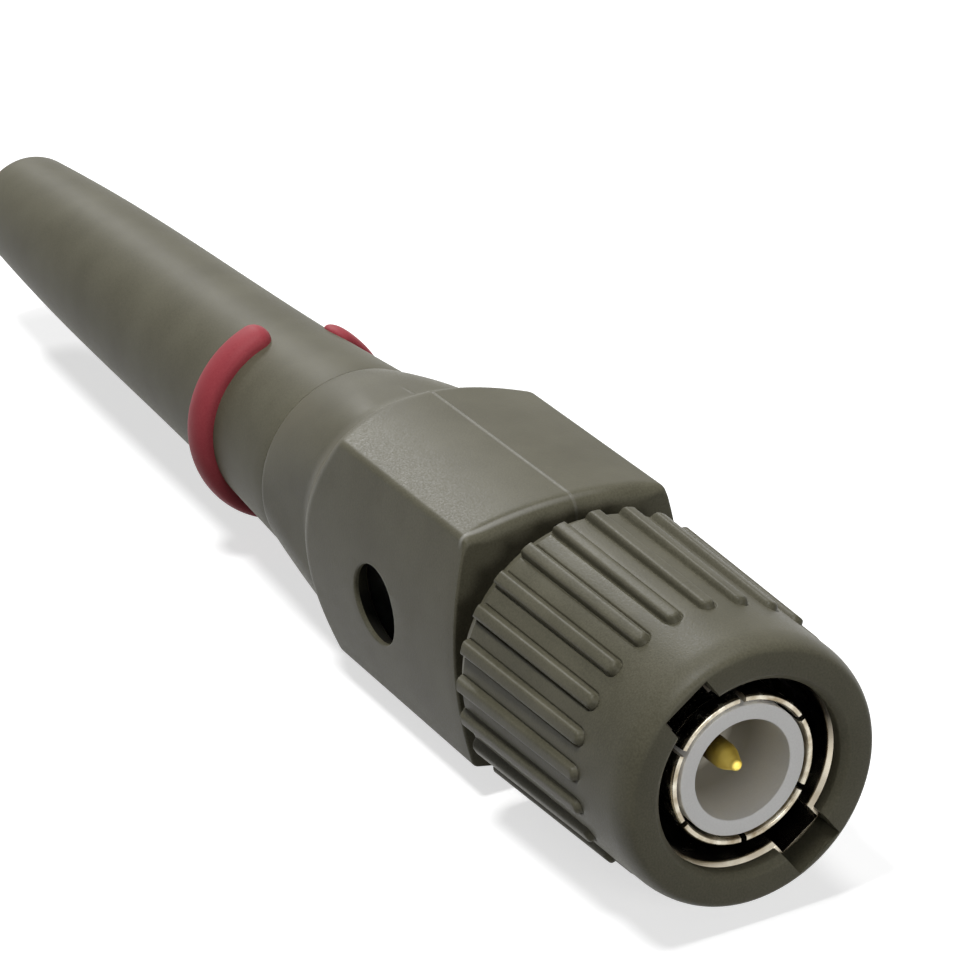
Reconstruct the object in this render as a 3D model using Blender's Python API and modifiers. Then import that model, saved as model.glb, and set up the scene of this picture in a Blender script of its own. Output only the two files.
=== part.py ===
"""Plug end of an oscilloscope probe: a bayonet plug on a compensation box with a strain relief boot.

The plug's axis runs along X and the plug mates towards +X. The trimmer's hole faces -Y.
Sizes are in millimetres and are turned into metres as the shapes are made. A depth is measured
backwards from the grip's front face, and a radius from the plug's axis or the boot's axis.
"""
import math

import bmesh
import bpy
from mathutils import Matrix, Vector

MM = 0.001

# Clearances
SLIP_GAP = 0.15          # between fixed pieces that sit one inside the other
REST_GAP = 0.3           # between faces that rest on each other, and round what turns

# Plug interface
CONTACT_RADIUS = 4.05
BARREL_SPACE = 0.9               # ring space that the jack's barrel fills
CONTACT_FRONT_DEPTH = 0.95

# Coupling grip, the ribbed plastic sleeve
GRIP_TAIL_LENGTH = 3.15          # from the shell's end to the grip's rear edge
GRIP_WALL = 1.35                 # plastic over the shell, at the front
GRIP_TAPER = 0.3                 # how much wider the grip is at its rear
GRIP_NOSE_DEPTH = 1.7            # how far back the rounded nose reaches
GRIP_NOSE_ROUNDING = 0.55
GRIP_MOUTH_CLEARANCE = 0.2       # between the mouth and the shell's bore
GRIP_MOUTH_CHAMFER = 0.3
GRIP_LIP_DEPTH = 0.7
GRIP_REAR_CHAMFER = 1.25         # how far forward the rear chamfer reaches over the ribs
GRIP_REAR_DROP = 0.45            # how far the chamfer cuts into the grip's rear edge
RIB_COUNT = 24
RIB_START_DEPTH = 4.3
RIB_WIDTH = 0.86
RIB_FRONT_HEIGHT = 0.3
RIB_REAR_HEIGHT = 0.45
SNAP_BEAD_HEIGHT = 0.3
SNAP_BEAD_LENGTH = 0.9
COUPLING_ANGLE = 125.3           # where a lug notch stands at rest, from +Y towards +Z

# Bayonet shell, the nickelled sleeve inside the grip
SHELL_FRONT_DEPTH = 1.0
SHELL_WALL = 0.9
SHELL_CHAMBER_LENGTH = 3.1
SHELL_CHAMBER_WALL = 0.35
SHELL_FLANGE_LENGTH = 1.2
LUG_TRACK_WIDTH = 2.3
LUG_TRACK_DEPTH = 0.65
LUG_ENTRY_LENGTH = 3.4
LUG_TRACK_TURN = 75.0
LUG_TRACK_RISE = 1.9
LUG_NOTCH_WIDTH = 2.8
LUG_NOTCH_WALL = 0.74            # plastic left over the notch's floor
LUG_NOTCH_OVERRUN = 0.8          # how far the notch runs on behind the grip's lip

# Outer contact, the slotted sleeve
CONTACT_WALL = 0.4
CONTACT_BEAD_LENGTH = 0.9
CONTACT_RELIEF = 0.1
CONTACT_LENGTH = 7.95
CONTACT_SLOT_COUNT = 6
CONTACT_SLOT_WIDTH = 0.45
CONTACT_SLOT_LENGTH = 4.6
CONTACT_SLOT_ANGLE = 30.0

# Insulators and pin
INSULATOR_SETBACK = 0.05
INSULATOR_WALL = 0.83
INSULATOR_BORE_LENGTH = 5.3
INSULATOR_EDGE = 0.15
PIN_RADIUS = 0.675
PIN_TIP_DEPTH = 1.4
PIN_TAPER_LENGTH = 1.5
PIN_TIP_RADIUS = 0.18
PIN_COLLAR_WIDTH = 0.62
PIN_COLLAR_LENGTH = 0.45
PIN_CUP_REACH = 0.6              # how far the pin stands out of the body's tail
PIN_CUP_LENGTH = 1.6
PIN_CUP_WALL = 0.25
REAR_INSULATOR_LENGTH = 4.2

# Plug body, the turned barrel
BODY_SOCKET_LENGTH = 1.3
BODY_SOCKET_WALL = 0.45
BODY_FLANGE_LENGTH = 1.0
WASHER_SEAT = 1.3                # radial width of the ring that the coupling's washers bear on
BODY_COLLAR_WIDTH = 0.7
BODY_COLLAR_LENGTH = 1.7
BODY_THREAD_SHARE = 0.7          # of the journal's wall
BODY_TAIL_SHARE = 0.55
BODY_TAIL_LENGTH = 1.2
BODY_BORE_RADIUS = 2.2
GASKET_LENGTH = 0.45
GASKET_WALL = 0.5
RING_LENGTH = 0.5
RING_WALL = 0.75
RING_GAP_WIDTH = 1.8
GROOVE_DEPTH = 0.35
COUPLING_TRAVEL = 0.6            # how far the coupling pulls forward against its spring
WAVE_STRIP = 0.2
WAVE_HEIGHT = 0.5
WAVE_COUNT = 3
THRUST_WASHER_LENGTH = 0.35
NUT_LENGTH = 1.3
NUT_WALL = 0.58

# Housing, two moulded shells that part on the plane y = 0
GRIP_TO_HOUSING = 1.36
HOUSING_HALF_WIDTH = 5.82
HOUSING_TOP = 6.83               # side face's top edge above the plug's axis
HOUSING_BOTTOM = 6.16            # side face's bottom edge below the plug's axis
HOUSING_TOP_CROWN = 0.72
HOUSING_SIDE_CROWN = 0.9
HOUSING_EDGE_RADIUS = 0.35
HOUSING_RIM_RADIUS = 0.45
HOUSING_FRONT_WALL = 1.54
HOUSING_SIDE_WALL = 1.32
SHOULDER_START = 14.24           # from the housing's front to where the rear cone cuts the corners
SHOULDER_LENGTH = 4.3
SHOULDER_DROP = 0.35             # how far the cone ends inside the boot's neck
COLLAR_HEIGHT_STEP = 0.22        # how far the collar's top starts above the side face's edge
COLLAR_WIDTH_STEP = 0.17         # how far the collar's side starts inside the box's corner
COLLAR_CORNER_RADIUS = 3.5
COLLAR_LENGTH = 9.6              # from the start of the rear cone to the collar's rear face
COLLAR_STEP = 0.1                # how far the collar's rear stands proud of the boot
COLLAR_ROUNDING = 0.15
PARTING_GAP = 0.3
REAR_AXIS_DROP = 0.3             # how far the boot's axis lies below the plug's

# Trimmer and circuit board
TRIMMER_SETBACK = 1.2            # from the pin's end to the trimmer's body
TRIMMER_DROP = 0.47
TRIMMER_HOLE_RADIUS = 2.24
TRIMMER_SIZE = 5.0
TRIMMER_HEIGHT = 2.2
TRIMMER_RECESS = 0.7
ROTOR_RADIUS = 1.8
ROTOR_HEIGHT = 1.0
ROTOR_STEM_RADIUS = 0.6
ROTOR_SLOT_WIDTH = 0.45
ROTOR_SLOT_DEPTH = 0.45
TERMINAL_THICKNESS = 0.2
TERMINAL_WIDTH = 1.6
TERMINAL_HEIGHT = 1.5
BOARD_SPACE_SHARE = 0.21         # of the free width, left between the pin and the board
BOARD_THICKNESS = 1.0
BOARD_MARGIN = 0.24              # board left free round the inside of the shield can
CAPACITOR_LENGTH = 3.2
CAPACITOR_HEIGHT = 1.2
DAMPING_RESISTOR_LENGTH = 2.0
SHUNT_RESISTOR_LENGTH = 3.2
RESISTOR_HEIGHT = 0.55
CHIP_WIDTH_SHARE = 0.6           # of the board above the trimmer
CHIP_SETBACK = 0.7               # from the pin's end to the fixed capacitor
CHIP_SPACE = 1.2                 # from the fixed capacitor to the damping resistor
LEAD_RADIUS = 0.25
LEAD_INSERTION = 1.0
SHIELD_WALL = 0.3
SHIELD_REACH = 0.8               # from where the rear cone starts to the shield can's end
SHIELD_OVERHANG = 1.1            # from the board's end to the shield can's
LUG_STRIP = 0.25
LUG_RING_WIDTH = 0.75
LUG_TAB_WIDTH = 1.0
LUG_TAB_LENGTH = 4.3

# Cable anchor, ferrule, boot and marker ring
CABLE_RADIUS = 2.0
BRAID_THICKNESS = 0.35
ANCHOR_DISC_STEP = 0.2           # how far the disc stands out past the boot's spigot
ANCHOR_DISC_LENGTH = 1.0
ANCHOR_TUBE_WALL = 0.6
ANCHOR_TUBE_LENGTH = 6.8
FERRULE_WALL = 0.6
FERRULE_LENGTH = 7.3
BOOT_SPIGOT_SHARE = 0.4          # of the space between the ferrule and the housing's side
BOOT_FLANGE_SHARE = 0.66
BOOT_SPIGOT_LENGTH = 3.9
BOOT_FLANGE_LENGTH = 1.0
BOOT_LENGTH = 46.2               # from the boot's shoulder to its end
BOOT_WIDTH_STEP = 0.03           # how far the boot's neck stands out past the box's corner
BOOT_NECK_TAPER = 0.6            # how much the neck narrows up to the marker ring's end
BOOT_END_WALL = 1.15
BOOT_END_ROUNDING = 0.6
BOOT_BELLY = 0.42                # how much the taper bulges over a straight one
BOOT_BORE_STEP = 1.2             # how far the ferrule's pocket runs past the ferrule
MARKER_START = 6.95              # from the boot's shoulder to the marker ring
MARKER_LENGTH = 2.5
MARKER_PROUD = 0.95
MARKER_ROUNDING = 0.5
MARKER_GAP_ANGLE = 81.5          # middle of the clip's opening, degrees from +Y towards +Z
MARKER_GAP_SHARE = 0.33          # half the opening's width as a share of the clip's radius

# Segments round a turned piece
GRIP_SEGMENTS = 72
WIDE_SEGMENTS = 48
NARROW_SEGMENTS = 32
PIN_SEGMENTS = 20

# Radii worked out from the sizes above
SHELL_BORE_RADIUS = CONTACT_RADIUS + BARREL_SPACE
SHELL_RADIUS = SHELL_BORE_RADIUS + SHELL_WALL
SHELL_CHAMBER_RADIUS = SHELL_RADIUS - SHELL_CHAMBER_WALL
GRIP_BORE_RADIUS = SHELL_RADIUS + SLIP_GAP
GRIP_FRONT_RADIUS = SHELL_RADIUS + GRIP_WALL
GRIP_MOUTH_RADIUS = SHELL_BORE_RADIUS + GRIP_MOUTH_CLEARANCE
LUG_NOTCH_RADIUS = GRIP_FRONT_RADIUS - LUG_NOTCH_WALL
CONTACT_BORE_RADIUS = CONTACT_RADIUS - CONTACT_WALL
INSULATOR_RADIUS = CONTACT_BORE_RADIUS - SLIP_GAP
INSULATOR_BORE_RADIUS = INSULATOR_RADIUS - INSULATOR_WALL
BODY_SOCKET_BORE = CONTACT_RADIUS - CONTACT_RELIEF + SLIP_GAP
BODY_FLANGE_RADIUS = SHELL_CHAMBER_RADIUS - REST_GAP
BODY_JOURNAL_RADIUS = SHELL_CHAMBER_RADIUS - WASHER_SEAT
BODY_WALL = BODY_JOURNAL_RADIUS - BODY_BORE_RADIUS
BODY_THREAD_RADIUS = BODY_BORE_RADIUS + BODY_WALL * BODY_THREAD_SHARE
BODY_TAIL_RADIUS = BODY_BORE_RADIUS + BODY_WALL * BODY_TAIL_SHARE
SHELL_FLANGE_BORE = BODY_JOURNAL_RADIUS + REST_GAP
NUT_BORE_RADIUS = BODY_THREAD_RADIUS + SLIP_GAP
NUT_CORNER_RADIUS = (NUT_BORE_RADIUS + NUT_WALL) / math.cos(math.radians(30.0))
SHOULDER_RADIUS = math.hypot(HOUSING_HALF_WIDTH, HOUSING_TOP)
FERRULE_BORE_RADIUS = CABLE_RADIUS + BRAID_THICKNESS - 0.1
FERRULE_RADIUS = FERRULE_BORE_RADIUS + FERRULE_WALL
ANCHOR_TUBE_RADIUS = FERRULE_BORE_RADIUS - BRAID_THICKNESS
BOOT_POCKET_RADIUS = FERRULE_RADIUS + REST_GAP
BOOT_SPACE = HOUSING_HALF_WIDTH - BOOT_POCKET_RADIUS
BOOT_SPIGOT_RADIUS = BOOT_POCKET_RADIUS + BOOT_SPACE * BOOT_SPIGOT_SHARE
BOOT_FLANGE_RADIUS = BOOT_POCKET_RADIUS + BOOT_SPACE * BOOT_FLANGE_SHARE
ANCHOR_DISC_RADIUS = BOOT_SPIGOT_RADIUS + ANCHOR_DISC_STEP
BOOT_BORE_RADIUS = CABLE_RADIUS + SLIP_GAP
BOOT_NECK_RADIUS = HOUSING_HALF_WIDTH + BOOT_WIDTH_STEP
BOOT_RING_RADIUS = BOOT_NECK_RADIUS - BOOT_NECK_TAPER
BOOT_END_RADIUS = BOOT_BORE_RADIUS + BOOT_END_WALL
SHOULDER_END_RADIUS = BOOT_NECK_RADIUS - SHOULDER_DROP

# Depths worked out from front to rear
CONTACT_END_DEPTH = CONTACT_FRONT_DEPTH + CONTACT_LENGTH
BODY_SOCKET_FLOOR = CONTACT_END_DEPTH + REST_GAP
BODY_FLANGE_DEPTH = BODY_SOCKET_FLOOR - REST_GAP
BODY_FRONT_DEPTH = BODY_FLANGE_DEPTH - BODY_SOCKET_LENGTH
BODY_FLANGE_END = BODY_FLANGE_DEPTH + BODY_FLANGE_LENGTH
THRUST_DEPTH = BODY_FLANGE_END + WAVE_HEIGHT + COUPLING_TRAVEL + REST_GAP
SHELL_FLANGE_DEPTH = THRUST_DEPTH + THRUST_WASHER_LENGTH + REST_GAP
SHELL_END_DEPTH = SHELL_FLANGE_DEPTH + SHELL_FLANGE_LENGTH
SHELL_CHAMBER_DEPTH = SHELL_FLANGE_DEPTH - SHELL_CHAMBER_LENGTH
RING_DEPTH = SHELL_END_DEPTH + REST_GAP
GRIP_LENGTH = SHELL_END_DEPTH + GRIP_TAIL_LENGTH
HOUSING_FRONT_DEPTH = GRIP_LENGTH + GRIP_TO_HOUSING
NECK_END_DEPTH = HOUSING_FRONT_DEPTH + HOUSING_FRONT_WALL
NUT_DEPTH = NECK_END_DEPTH + REST_GAP
CHAMBER_DEPTH = NUT_DEPTH + NUT_LENGTH + REST_GAP
TAIL_END_DEPTH = CHAMBER_DEPTH + BODY_TAIL_LENGTH
PIN_END_DEPTH = TAIL_END_DEPTH + PIN_CUP_REACH
LUG_DEPTH = CHAMBER_DEPTH + SLIP_GAP
SHIELD_DEPTH = TAIL_END_DEPTH + REST_GAP
SHOULDER_DEPTH = HOUSING_FRONT_DEPTH + SHOULDER_START
SHIELD_END_DEPTH = SHOULDER_DEPTH + SHIELD_REACH
TRIMMER_DEPTH = PIN_END_DEPTH + TRIMMER_SETBACK + TRIMMER_SIZE / 2.0
BOARD_DEPTH = TAIL_END_DEPTH + REST_GAP
BOARD_END_DEPTH = SHIELD_END_DEPTH - SHIELD_OVERHANG
ANCHOR_DEPTH = SHIELD_END_DEPTH + REST_GAP
ANCHOR_DISC_END = ANCHOR_DEPTH + ANCHOR_DISC_LENGTH
FERRULE_DEPTH = ANCHOR_DISC_END + REST_GAP
FERRULE_END_DEPTH = FERRULE_DEPTH + FERRULE_LENGTH
SHOULDER_END_DEPTH = SHOULDER_DEPTH + SHOULDER_LENGTH
COLLAR_END_DEPTH = SHOULDER_DEPTH + COLLAR_LENGTH
BOOT_SHOULDER_DEPTH = COLLAR_END_DEPTH + REST_GAP
BOOT_SPIGOT_DEPTH = BOOT_SHOULDER_DEPTH - BOOT_SPIGOT_LENGTH
BOOT_FLANGE_DEPTH = BOOT_SPIGOT_DEPTH - BOOT_FLANGE_LENGTH
MARKER_DEPTH = BOOT_SHOULDER_DEPTH + MARKER_START
MARKER_END_DEPTH = MARKER_DEPTH + MARKER_LENGTH
BOOT_END_DEPTH = BOOT_SHOULDER_DEPTH + BOOT_LENGTH

# Inside of the housing
CHAMBER_HALF_WIDTH = HOUSING_HALF_WIDTH - HOUSING_SIDE_WALL
CHAMBER_TOP = HOUSING_TOP - HOUSING_SIDE_WALL
CHAMBER_BOTTOM = HOUSING_BOTTOM - HOUSING_SIDE_WALL
SHIELD_HALF_WIDTH = CHAMBER_HALF_WIDTH - REST_GAP
SHIELD_TOP = CHAMBER_TOP - REST_GAP
SHIELD_BOTTOM = CHAMBER_BOTTOM - REST_GAP
BOARD_STACK = BOARD_THICKNESS + RESISTOR_HEIGHT + 2.0 * REST_GAP
BOARD_SPACE = SHIELD_HALF_WIDTH - SHIELD_WALL - BOARD_STACK - PIN_RADIUS
BOARD_FACE_Y = PIN_RADIUS + REST_GAP + BOARD_SPACE * BOARD_SPACE_SHARE
BOARD_TOP = SHIELD_TOP - SHIELD_WALL - BOARD_MARGIN
BOARD_BOTTOM = SHIELD_BOTTOM - SHIELD_WALL - BOARD_MARGIN
TRIMMER_TOP = TRIMMER_SIZE / 2.0 - TRIMMER_DROP
CHIP_WIDTH = (BOARD_TOP - TRIMMER_TOP) * CHIP_WIDTH_SHARE
CHIP_ROW_HEIGHT = (BOARD_TOP + TRIMMER_TOP) / 2.0


def grip_radius(depth):
    share = (depth - GRIP_NOSE_DEPTH) / (GRIP_LENGTH - GRIP_NOSE_DEPTH)
    return GRIP_FRONT_RADIUS + GRIP_TAPER * share


def rib_tip_radius(depth):
    share = (depth - RIB_START_DEPTH) / (GRIP_LENGTH - RIB_START_DEPTH)
    return grip_radius(depth) + RIB_FRONT_HEIGHT + (RIB_REAR_HEIGHT - RIB_FRONT_HEIGHT) * share


# Where the plug lies: centred along X, its lowest rib on the plane z = 0
GRIP_FRONT_X = BOOT_END_DEPTH / 2.0
RIB_PITCH = 360.0 / RIB_COUNT
LOWEST_RIB_TURN = (COUPLING_ANGLE + RIB_PITCH + 90.0) % RIB_PITCH - RIB_PITCH / 2.0
PLUG_AXIS_Z = rib_tip_radius(GRIP_LENGTH - GRIP_REAR_CHAMFER) * math.cos(math.radians(LOWEST_RIB_TURN))
BOOT_AXIS_Z = PLUG_AXIS_Z - REAR_AXIS_DROP

PLASTIC = ("moulded_plastic", (0.105, 0.105, 0.085), 0.55, 0.0)
NICKEL = ("nickel_plate", (0.62, 0.6, 0.52), 0.25, 1.0)
SPRING_STEEL = ("spring_steel", (0.45, 0.45, 0.44), 0.35, 1.0)
WHITE_INSULATOR = ("white_insulator", (0.75, 0.75, 0.74), 0.45, 0.0)
GOLD = ("gold_plate", (0.75, 0.55, 0.12), 0.25, 1.0)
SILICONE = ("silicone", (0.55, 0.16, 0.07), 0.6, 0.0)
BOARD_GREEN = ("circuit_board", (0.03, 0.16, 0.07), 0.5, 0.0)
CERAMIC = ("ceramic", (0.5, 0.36, 0.2), 0.5, 0.0)
CHIP_BLACK = ("chip_black", (0.03, 0.03, 0.03), 0.4, 0.0)
TRIMMER_PLASTIC = ("trimmer_plastic", (0.12, 0.1, 0.08), 0.5, 0.0)
TINNED_STEEL = ("tinned_steel", (0.5, 0.5, 0.5), 0.35, 1.0)
BOOT_ELASTOMER = ("boot_elastomer", (0.105, 0.105, 0.085), 0.5, 0.0)
MARKER_RED = ("marker_red", (0.4, 0.09, 0.09), 0.6, 0.0)
COPPER = ("tinned_copper", (0.65, 0.45, 0.33), 0.35, 1.0)


def clear_scene():
    for item in list(bpy.data.objects):
        bpy.data.objects.remove(item, do_unlink=True)


def make_collection(name):
    collection = bpy.data.collections.new(name)
    bpy.context.scene.collection.children.link(collection)
    return collection


def make_material(finish):
    name, colour, roughness, metallic = finish
    material = bpy.data.materials.get(name)
    if material is None:
        material = bpy.data.materials.new(name)
        material.use_nodes = True
        shader = material.node_tree.nodes["Principled BSDF"]
        shader.inputs["Base Color"].default_value = (*colour, 1.0)
        shader.inputs["Roughness"].default_value = roughness
        shader.inputs["Metallic"].default_value = metallic
    return material


def x_at(depth):
    """World X in metres of a depth behind the grip's front face."""
    return (GRIP_FRONT_X - depth) * MM


def add_object(name, mesh, collection, finish=None):
    item = bpy.data.objects.new(name, mesh)
    collection.objects.link(item)
    if finish:
        mesh.materials.append(make_material(finish))
    return item


def as_cutter(item):
    item.hide_render = True
    item.display_type = "WIRE"
    return item


def smooth(item, angle=35.0):
    mesh = item.data
    mesh.shade_smooth()
    mesh.set_sharp_from_angle(angle=math.radians(angle))


def combine(target, other, operation):
    modifier = target.modifiers.new(other.name, "BOOLEAN")
    modifier.operation = operation
    modifier.solver = "EXACT"
    modifier.object = other
    return modifier


def turned(name, outline, collection, finish=None, segments=WIDE_SEGMENTS, axis_z=PLUG_AXIS_Z, ring=True):
    """Turn an outline of (depth, radius) points about the axis: outer side front to rear, then back."""
    points = [(radius * MM, 0.0, x_at(depth)) for depth, radius in outline]
    edges = [(i, i + 1) for i in range(len(points) - 1)]
    if ring:
        edges.append((len(points) - 1, 0))
    mesh = bpy.data.meshes.new(name)
    mesh.from_pydata(points, edges, [])
    item = add_object(name, mesh, collection, finish)
    item.rotation_euler = (0.0, math.radians(90.0), 0.0)
    item.location = (0.0, 0.0, axis_z * MM)
    screw = item.modifiers.new("turn", "SCREW")
    screw.axis = "Z"
    screw.angle = math.radians(360.0)
    screw.steps = segments
    screw.render_steps = segments
    screw.use_merge_vertices = True
    screw.merge_threshold = 0.00001
    screw.use_smooth_shade = True
    return item


def block(name, low, high, collection, finish=None):
    """A box between two corners, each given as (depth, y, height above the plug's axis)."""
    x_low, x_high = x_at(high[0]), x_at(low[0])
    size = Vector((x_high - x_low, (high[1] - low[1]) * MM, (high[2] - low[2]) * MM))
    centre = Vector((
        (x_low + x_high) / 2.0,
        (low[1] + high[1]) / 2.0 * MM,
        (PLUG_AXIS_Z + (low[2] + high[2]) / 2.0) * MM,
    ))
    mesh = bpy.data.meshes.new(name)
    shape = bmesh.new()
    bmesh.ops.create_cube(shape, size=1.0, matrix=Matrix.Diagonal((*size, 1.0)))
    shape.to_mesh(mesh)
    shape.free()
    item = add_object(name, mesh, collection, finish)
    item.location = centre
    return item


def round_bar(name, start, end, radius, collection, finish=None, segments=NARROW_SEGMENTS):
    """A cylinder between two points, each given as (depth, y, height above the plug's axis)."""
    ends = [Vector((x_at(d), y * MM, (PLUG_AXIS_Z + h) * MM)) for d, y, h in (start, end)]
    along = ends[1] - ends[0]
    mesh = bpy.data.meshes.new(name)
    shape = bmesh.new()
    bmesh.ops.create_cone(
        shape, cap_ends=True, segments=segments,
        radius1=radius * MM, radius2=radius * MM, depth=along.length,
    )
    shape.to_mesh(mesh)
    shape.free()
    item = add_object(name, mesh, collection, finish)
    item.location = (ends[0] + ends[1]) / 2.0
    item.rotation_euler = Vector((0.0, 0.0, 1.0)).rotation_difference(along).to_euler()
    return item


def bevel_edges(item, width, segments=1):
    modifier = item.modifiers.new("edges", "BEVEL")
    modifier.width = width * MM
    modifier.segments = segments
    modifier.limit_method = "ANGLE"
    modifier.angle_limit = math.radians(40.0)
    return modifier


def evaluated_mesh(item, name):
    """Replace an object by its evaluated mesh, welded, so that it can be cut and joined."""
    bpy.context.view_layer.update()
    graph = bpy.context.evaluated_depsgraph_get()
    mesh = bpy.data.meshes.new_from_object(item.evaluated_get(graph))
    shape = bmesh.new()
    shape.from_mesh(mesh)
    bmesh.ops.remove_doubles(shape, verts=shape.verts, dist=0.000001)
    shape.to_mesh(mesh)
    shape.free()
    mesh.name = name
    solid = bpy.data.objects.new(name, mesh)
    item.users_collection[0].objects.link(solid)
    solid.matrix_world = item.matrix_world.copy()
    bpy.data.objects.remove(item, do_unlink=True)
    solid.name = name
    return solid


def extruded(name, outline, thickness, placement, collection):
    """A flat outline, extruded to a thickness about its own plane. Points are in millimetres."""
    curve = bpy.data.curves.new(name, "CURVE")
    curve.dimensions = "2D"
    curve.fill_mode = "BOTH"
    curve.extrude = thickness / 2.0 * MM
    spline = curve.splines.new("POLY")
    spline.points.add(len(outline) - 1)
    for point, (across, up) in zip(spline.points, outline):
        point.co = (across * MM, up * MM, 0.0, 1.0)
    spline.use_cyclic_u = True
    item = bpy.data.objects.new(name, curve)
    collection.objects.link(item)
    item.matrix_world = placement
    return evaluated_mesh(item, name)


def arc(centre, radius, start, end, steps):
    """Points on an arc about a centre, with its angles in degrees."""
    points = []
    for i in range(steps + 1):
        angle = math.radians(start + (end - start) * i / steps)
        points.append((centre[0] + radius * math.cos(angle), centre[1] + radius * math.sin(angle)))
    return points


def turned_about_axis(item, angle):
    """Turn an object about the plug's axis, by an angle from +Y towards +Z."""
    bpy.context.view_layer.update()
    pivot = Matrix.Translation((0.0, 0.0, PLUG_AXIS_Z * MM))
    turn = Matrix.Rotation(math.radians(angle), 4, "X")
    item.matrix_world = pivot @ turn @ pivot.inverted() @ item.matrix_world
    return item


# ---------------------------------------------------------------- coupling


def rib_mesh(cutters):
    """All ribs as one mesh of round bars with round front ends, their tips at the rib height."""
    shape = bmesh.new()
    half = RIB_WIDTH / 2.0
    front = RIB_START_DEPTH + half
    rear = GRIP_LENGTH + half
    front_radius = rib_tip_radius(front) - half
    rear_radius = rib_tip_radius(rear) - half
    widest_ring = math.sin(math.radians(72.0))
    for index in range(RIB_COUNT):
        angle = math.radians(COUPLING_ANGLE + (index + 0.5) * RIB_PITCH)
        outward = Vector((0.0, math.cos(angle), math.sin(angle)))
        start = Vector((x_at(front), 0.0, 0.0)) + outward * front_radius * MM
        end = Vector((x_at(rear), 0.0, 0.0)) + outward * rear_radius * MM
        along = end - start
        rearward = along.normalized()
        across = rearward.cross(outward).normalized()
        facing = Matrix((across.cross(rearward), across, rearward)).transposed().to_4x4()
        ball = bmesh.ops.create_uvsphere(shape, u_segments=8, v_segments=5, radius=half / widest_ring * MM)
        for vert in ball["verts"]:
            if vert.co.z > 0.0:
                vert.co.z += along.length
        bmesh.ops.transform(shape, matrix=Matrix.Translation(start) @ facing, verts=ball["verts"])
    mesh = bpy.data.meshes.new("ribs")
    shape.to_mesh(mesh)
    shape.free()
    ribs = add_object("ribs", mesh, cutters)
    ribs.location = (0.0, 0.0, PLUG_AXIS_Z * MM)
    return as_cutter(ribs)


def lug_cutters(name, width, floor, start, end, cutters):
    """Two straight cutters opposite each other, from the bore out to a floor radius."""
    made = []
    for side in range(2):
        item = block(f"{name}_{side}", (start, -width / 2.0, 0.0), (end, width / 2.0, floor), cutters)
        turned_about_axis(item, COUPLING_ANGLE - 90.0 + 180.0 * side)
        made.append(as_cutter(item))
    return made


def coupling_grip(parts, cutters):
    bore = GRIP_BORE_RADIUS
    face_radius = GRIP_FRONT_RADIUS - GRIP_NOSE_ROUNDING
    nose = []
    for step in range(5):
        turn = math.radians(90.0 * step / 4)
        nose.append((
            GRIP_NOSE_DEPTH * (1.0 - math.cos(turn)),
            face_radius + GRIP_NOSE_ROUNDING * math.sin(turn),
        ))
    bead = SHELL_END_DEPTH + REST_GAP
    outline = nose + [
        (GRIP_LENGTH, grip_radius(GRIP_LENGTH)),
        (GRIP_LENGTH, bore),
        (bead + SNAP_BEAD_LENGTH, bore),
        (bead + SNAP_BEAD_LENGTH * 0.7, bore - SNAP_BEAD_HEIGHT),
        (bead + SNAP_BEAD_LENGTH * 0.3, bore - SNAP_BEAD_HEIGHT),
        (bead, bore),
        (GRIP_LIP_DEPTH, bore),
        (GRIP_LIP_DEPTH, GRIP_MOUTH_RADIUS),
        (GRIP_MOUTH_CHAMFER, GRIP_MOUTH_RADIUS),
        (0.0, GRIP_MOUTH_RADIUS + GRIP_MOUTH_CHAMFER),
    ]
    grip = turned("coupling_grip", outline, parts, PLASTIC, segments=GRIP_SEGMENTS)
    combine(grip, rib_mesh(cutters), "UNION")
    chamfer_start = GRIP_LENGTH - GRIP_REAR_CHAMFER
    rib_tip = rib_tip_radius(chamfer_start)
    rear_trim = turned(
        "rear_trim",
        [
            (chamfer_start, rib_tip + 1.0),
            (GRIP_LENGTH + 2.0, rib_tip + 1.0),
            (GRIP_LENGTH + 2.0, bore - 1.0),
            (GRIP_LENGTH, bore - 1.0),
            (GRIP_LENGTH, grip_radius(GRIP_LENGTH) - GRIP_REAR_DROP),
            (chamfer_start, rib_tip),
        ],
        cutters,
    )
    combine(grip, as_cutter(rear_trim), "DIFFERENCE")
    notch_end = GRIP_LIP_DEPTH + LUG_NOTCH_OVERRUN
    for cutter in lug_cutters("grip_notch", LUG_NOTCH_WIDTH, LUG_NOTCH_RADIUS, -1.0, notch_end, cutters):
        combine(grip, cutter, "DIFFERENCE")
    return grip


def helical_track(index, cutters):
    """The sloping part of a lug track: a square bar that winds round the bore."""
    low = SHELL_BORE_RADIUS - 0.4
    high = SHELL_BORE_RADIUS + LUG_TRACK_DEPTH
    middle = SHELL_FRONT_DEPTH + LUG_ENTRY_LENGTH - LUG_TRACK_WIDTH / 2.0
    half = LUG_TRACK_WIDTH / 2.0
    outline = [(middle - half, high), (middle + half, high), (middle + half, low), (middle - half, low)]
    bar = turned(f"lug_track_{index}", outline, cutters)
    screw = bar.modifiers["turn"]
    screw.angle = math.radians(LUG_TRACK_TURN)
    screw.screw_offset = -LUG_TRACK_RISE * MM
    screw.steps = 12
    screw.render_steps = 12
    bar = evaluated_mesh(bar, f"lug_track_{index}")
    shape = bmesh.new()
    shape.from_mesh(bar.data)
    bmesh.ops.holes_fill(shape, edges=shape.edges, sides=4)
    bmesh.ops.recalc_face_normals(shape, faces=shape.faces)
    shape.to_mesh(bar.data)
    shape.free()
    turned_about_axis(bar, COUPLING_ANGLE + 90.0 + 180.0 * index)
    return as_cutter(bar)


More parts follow.
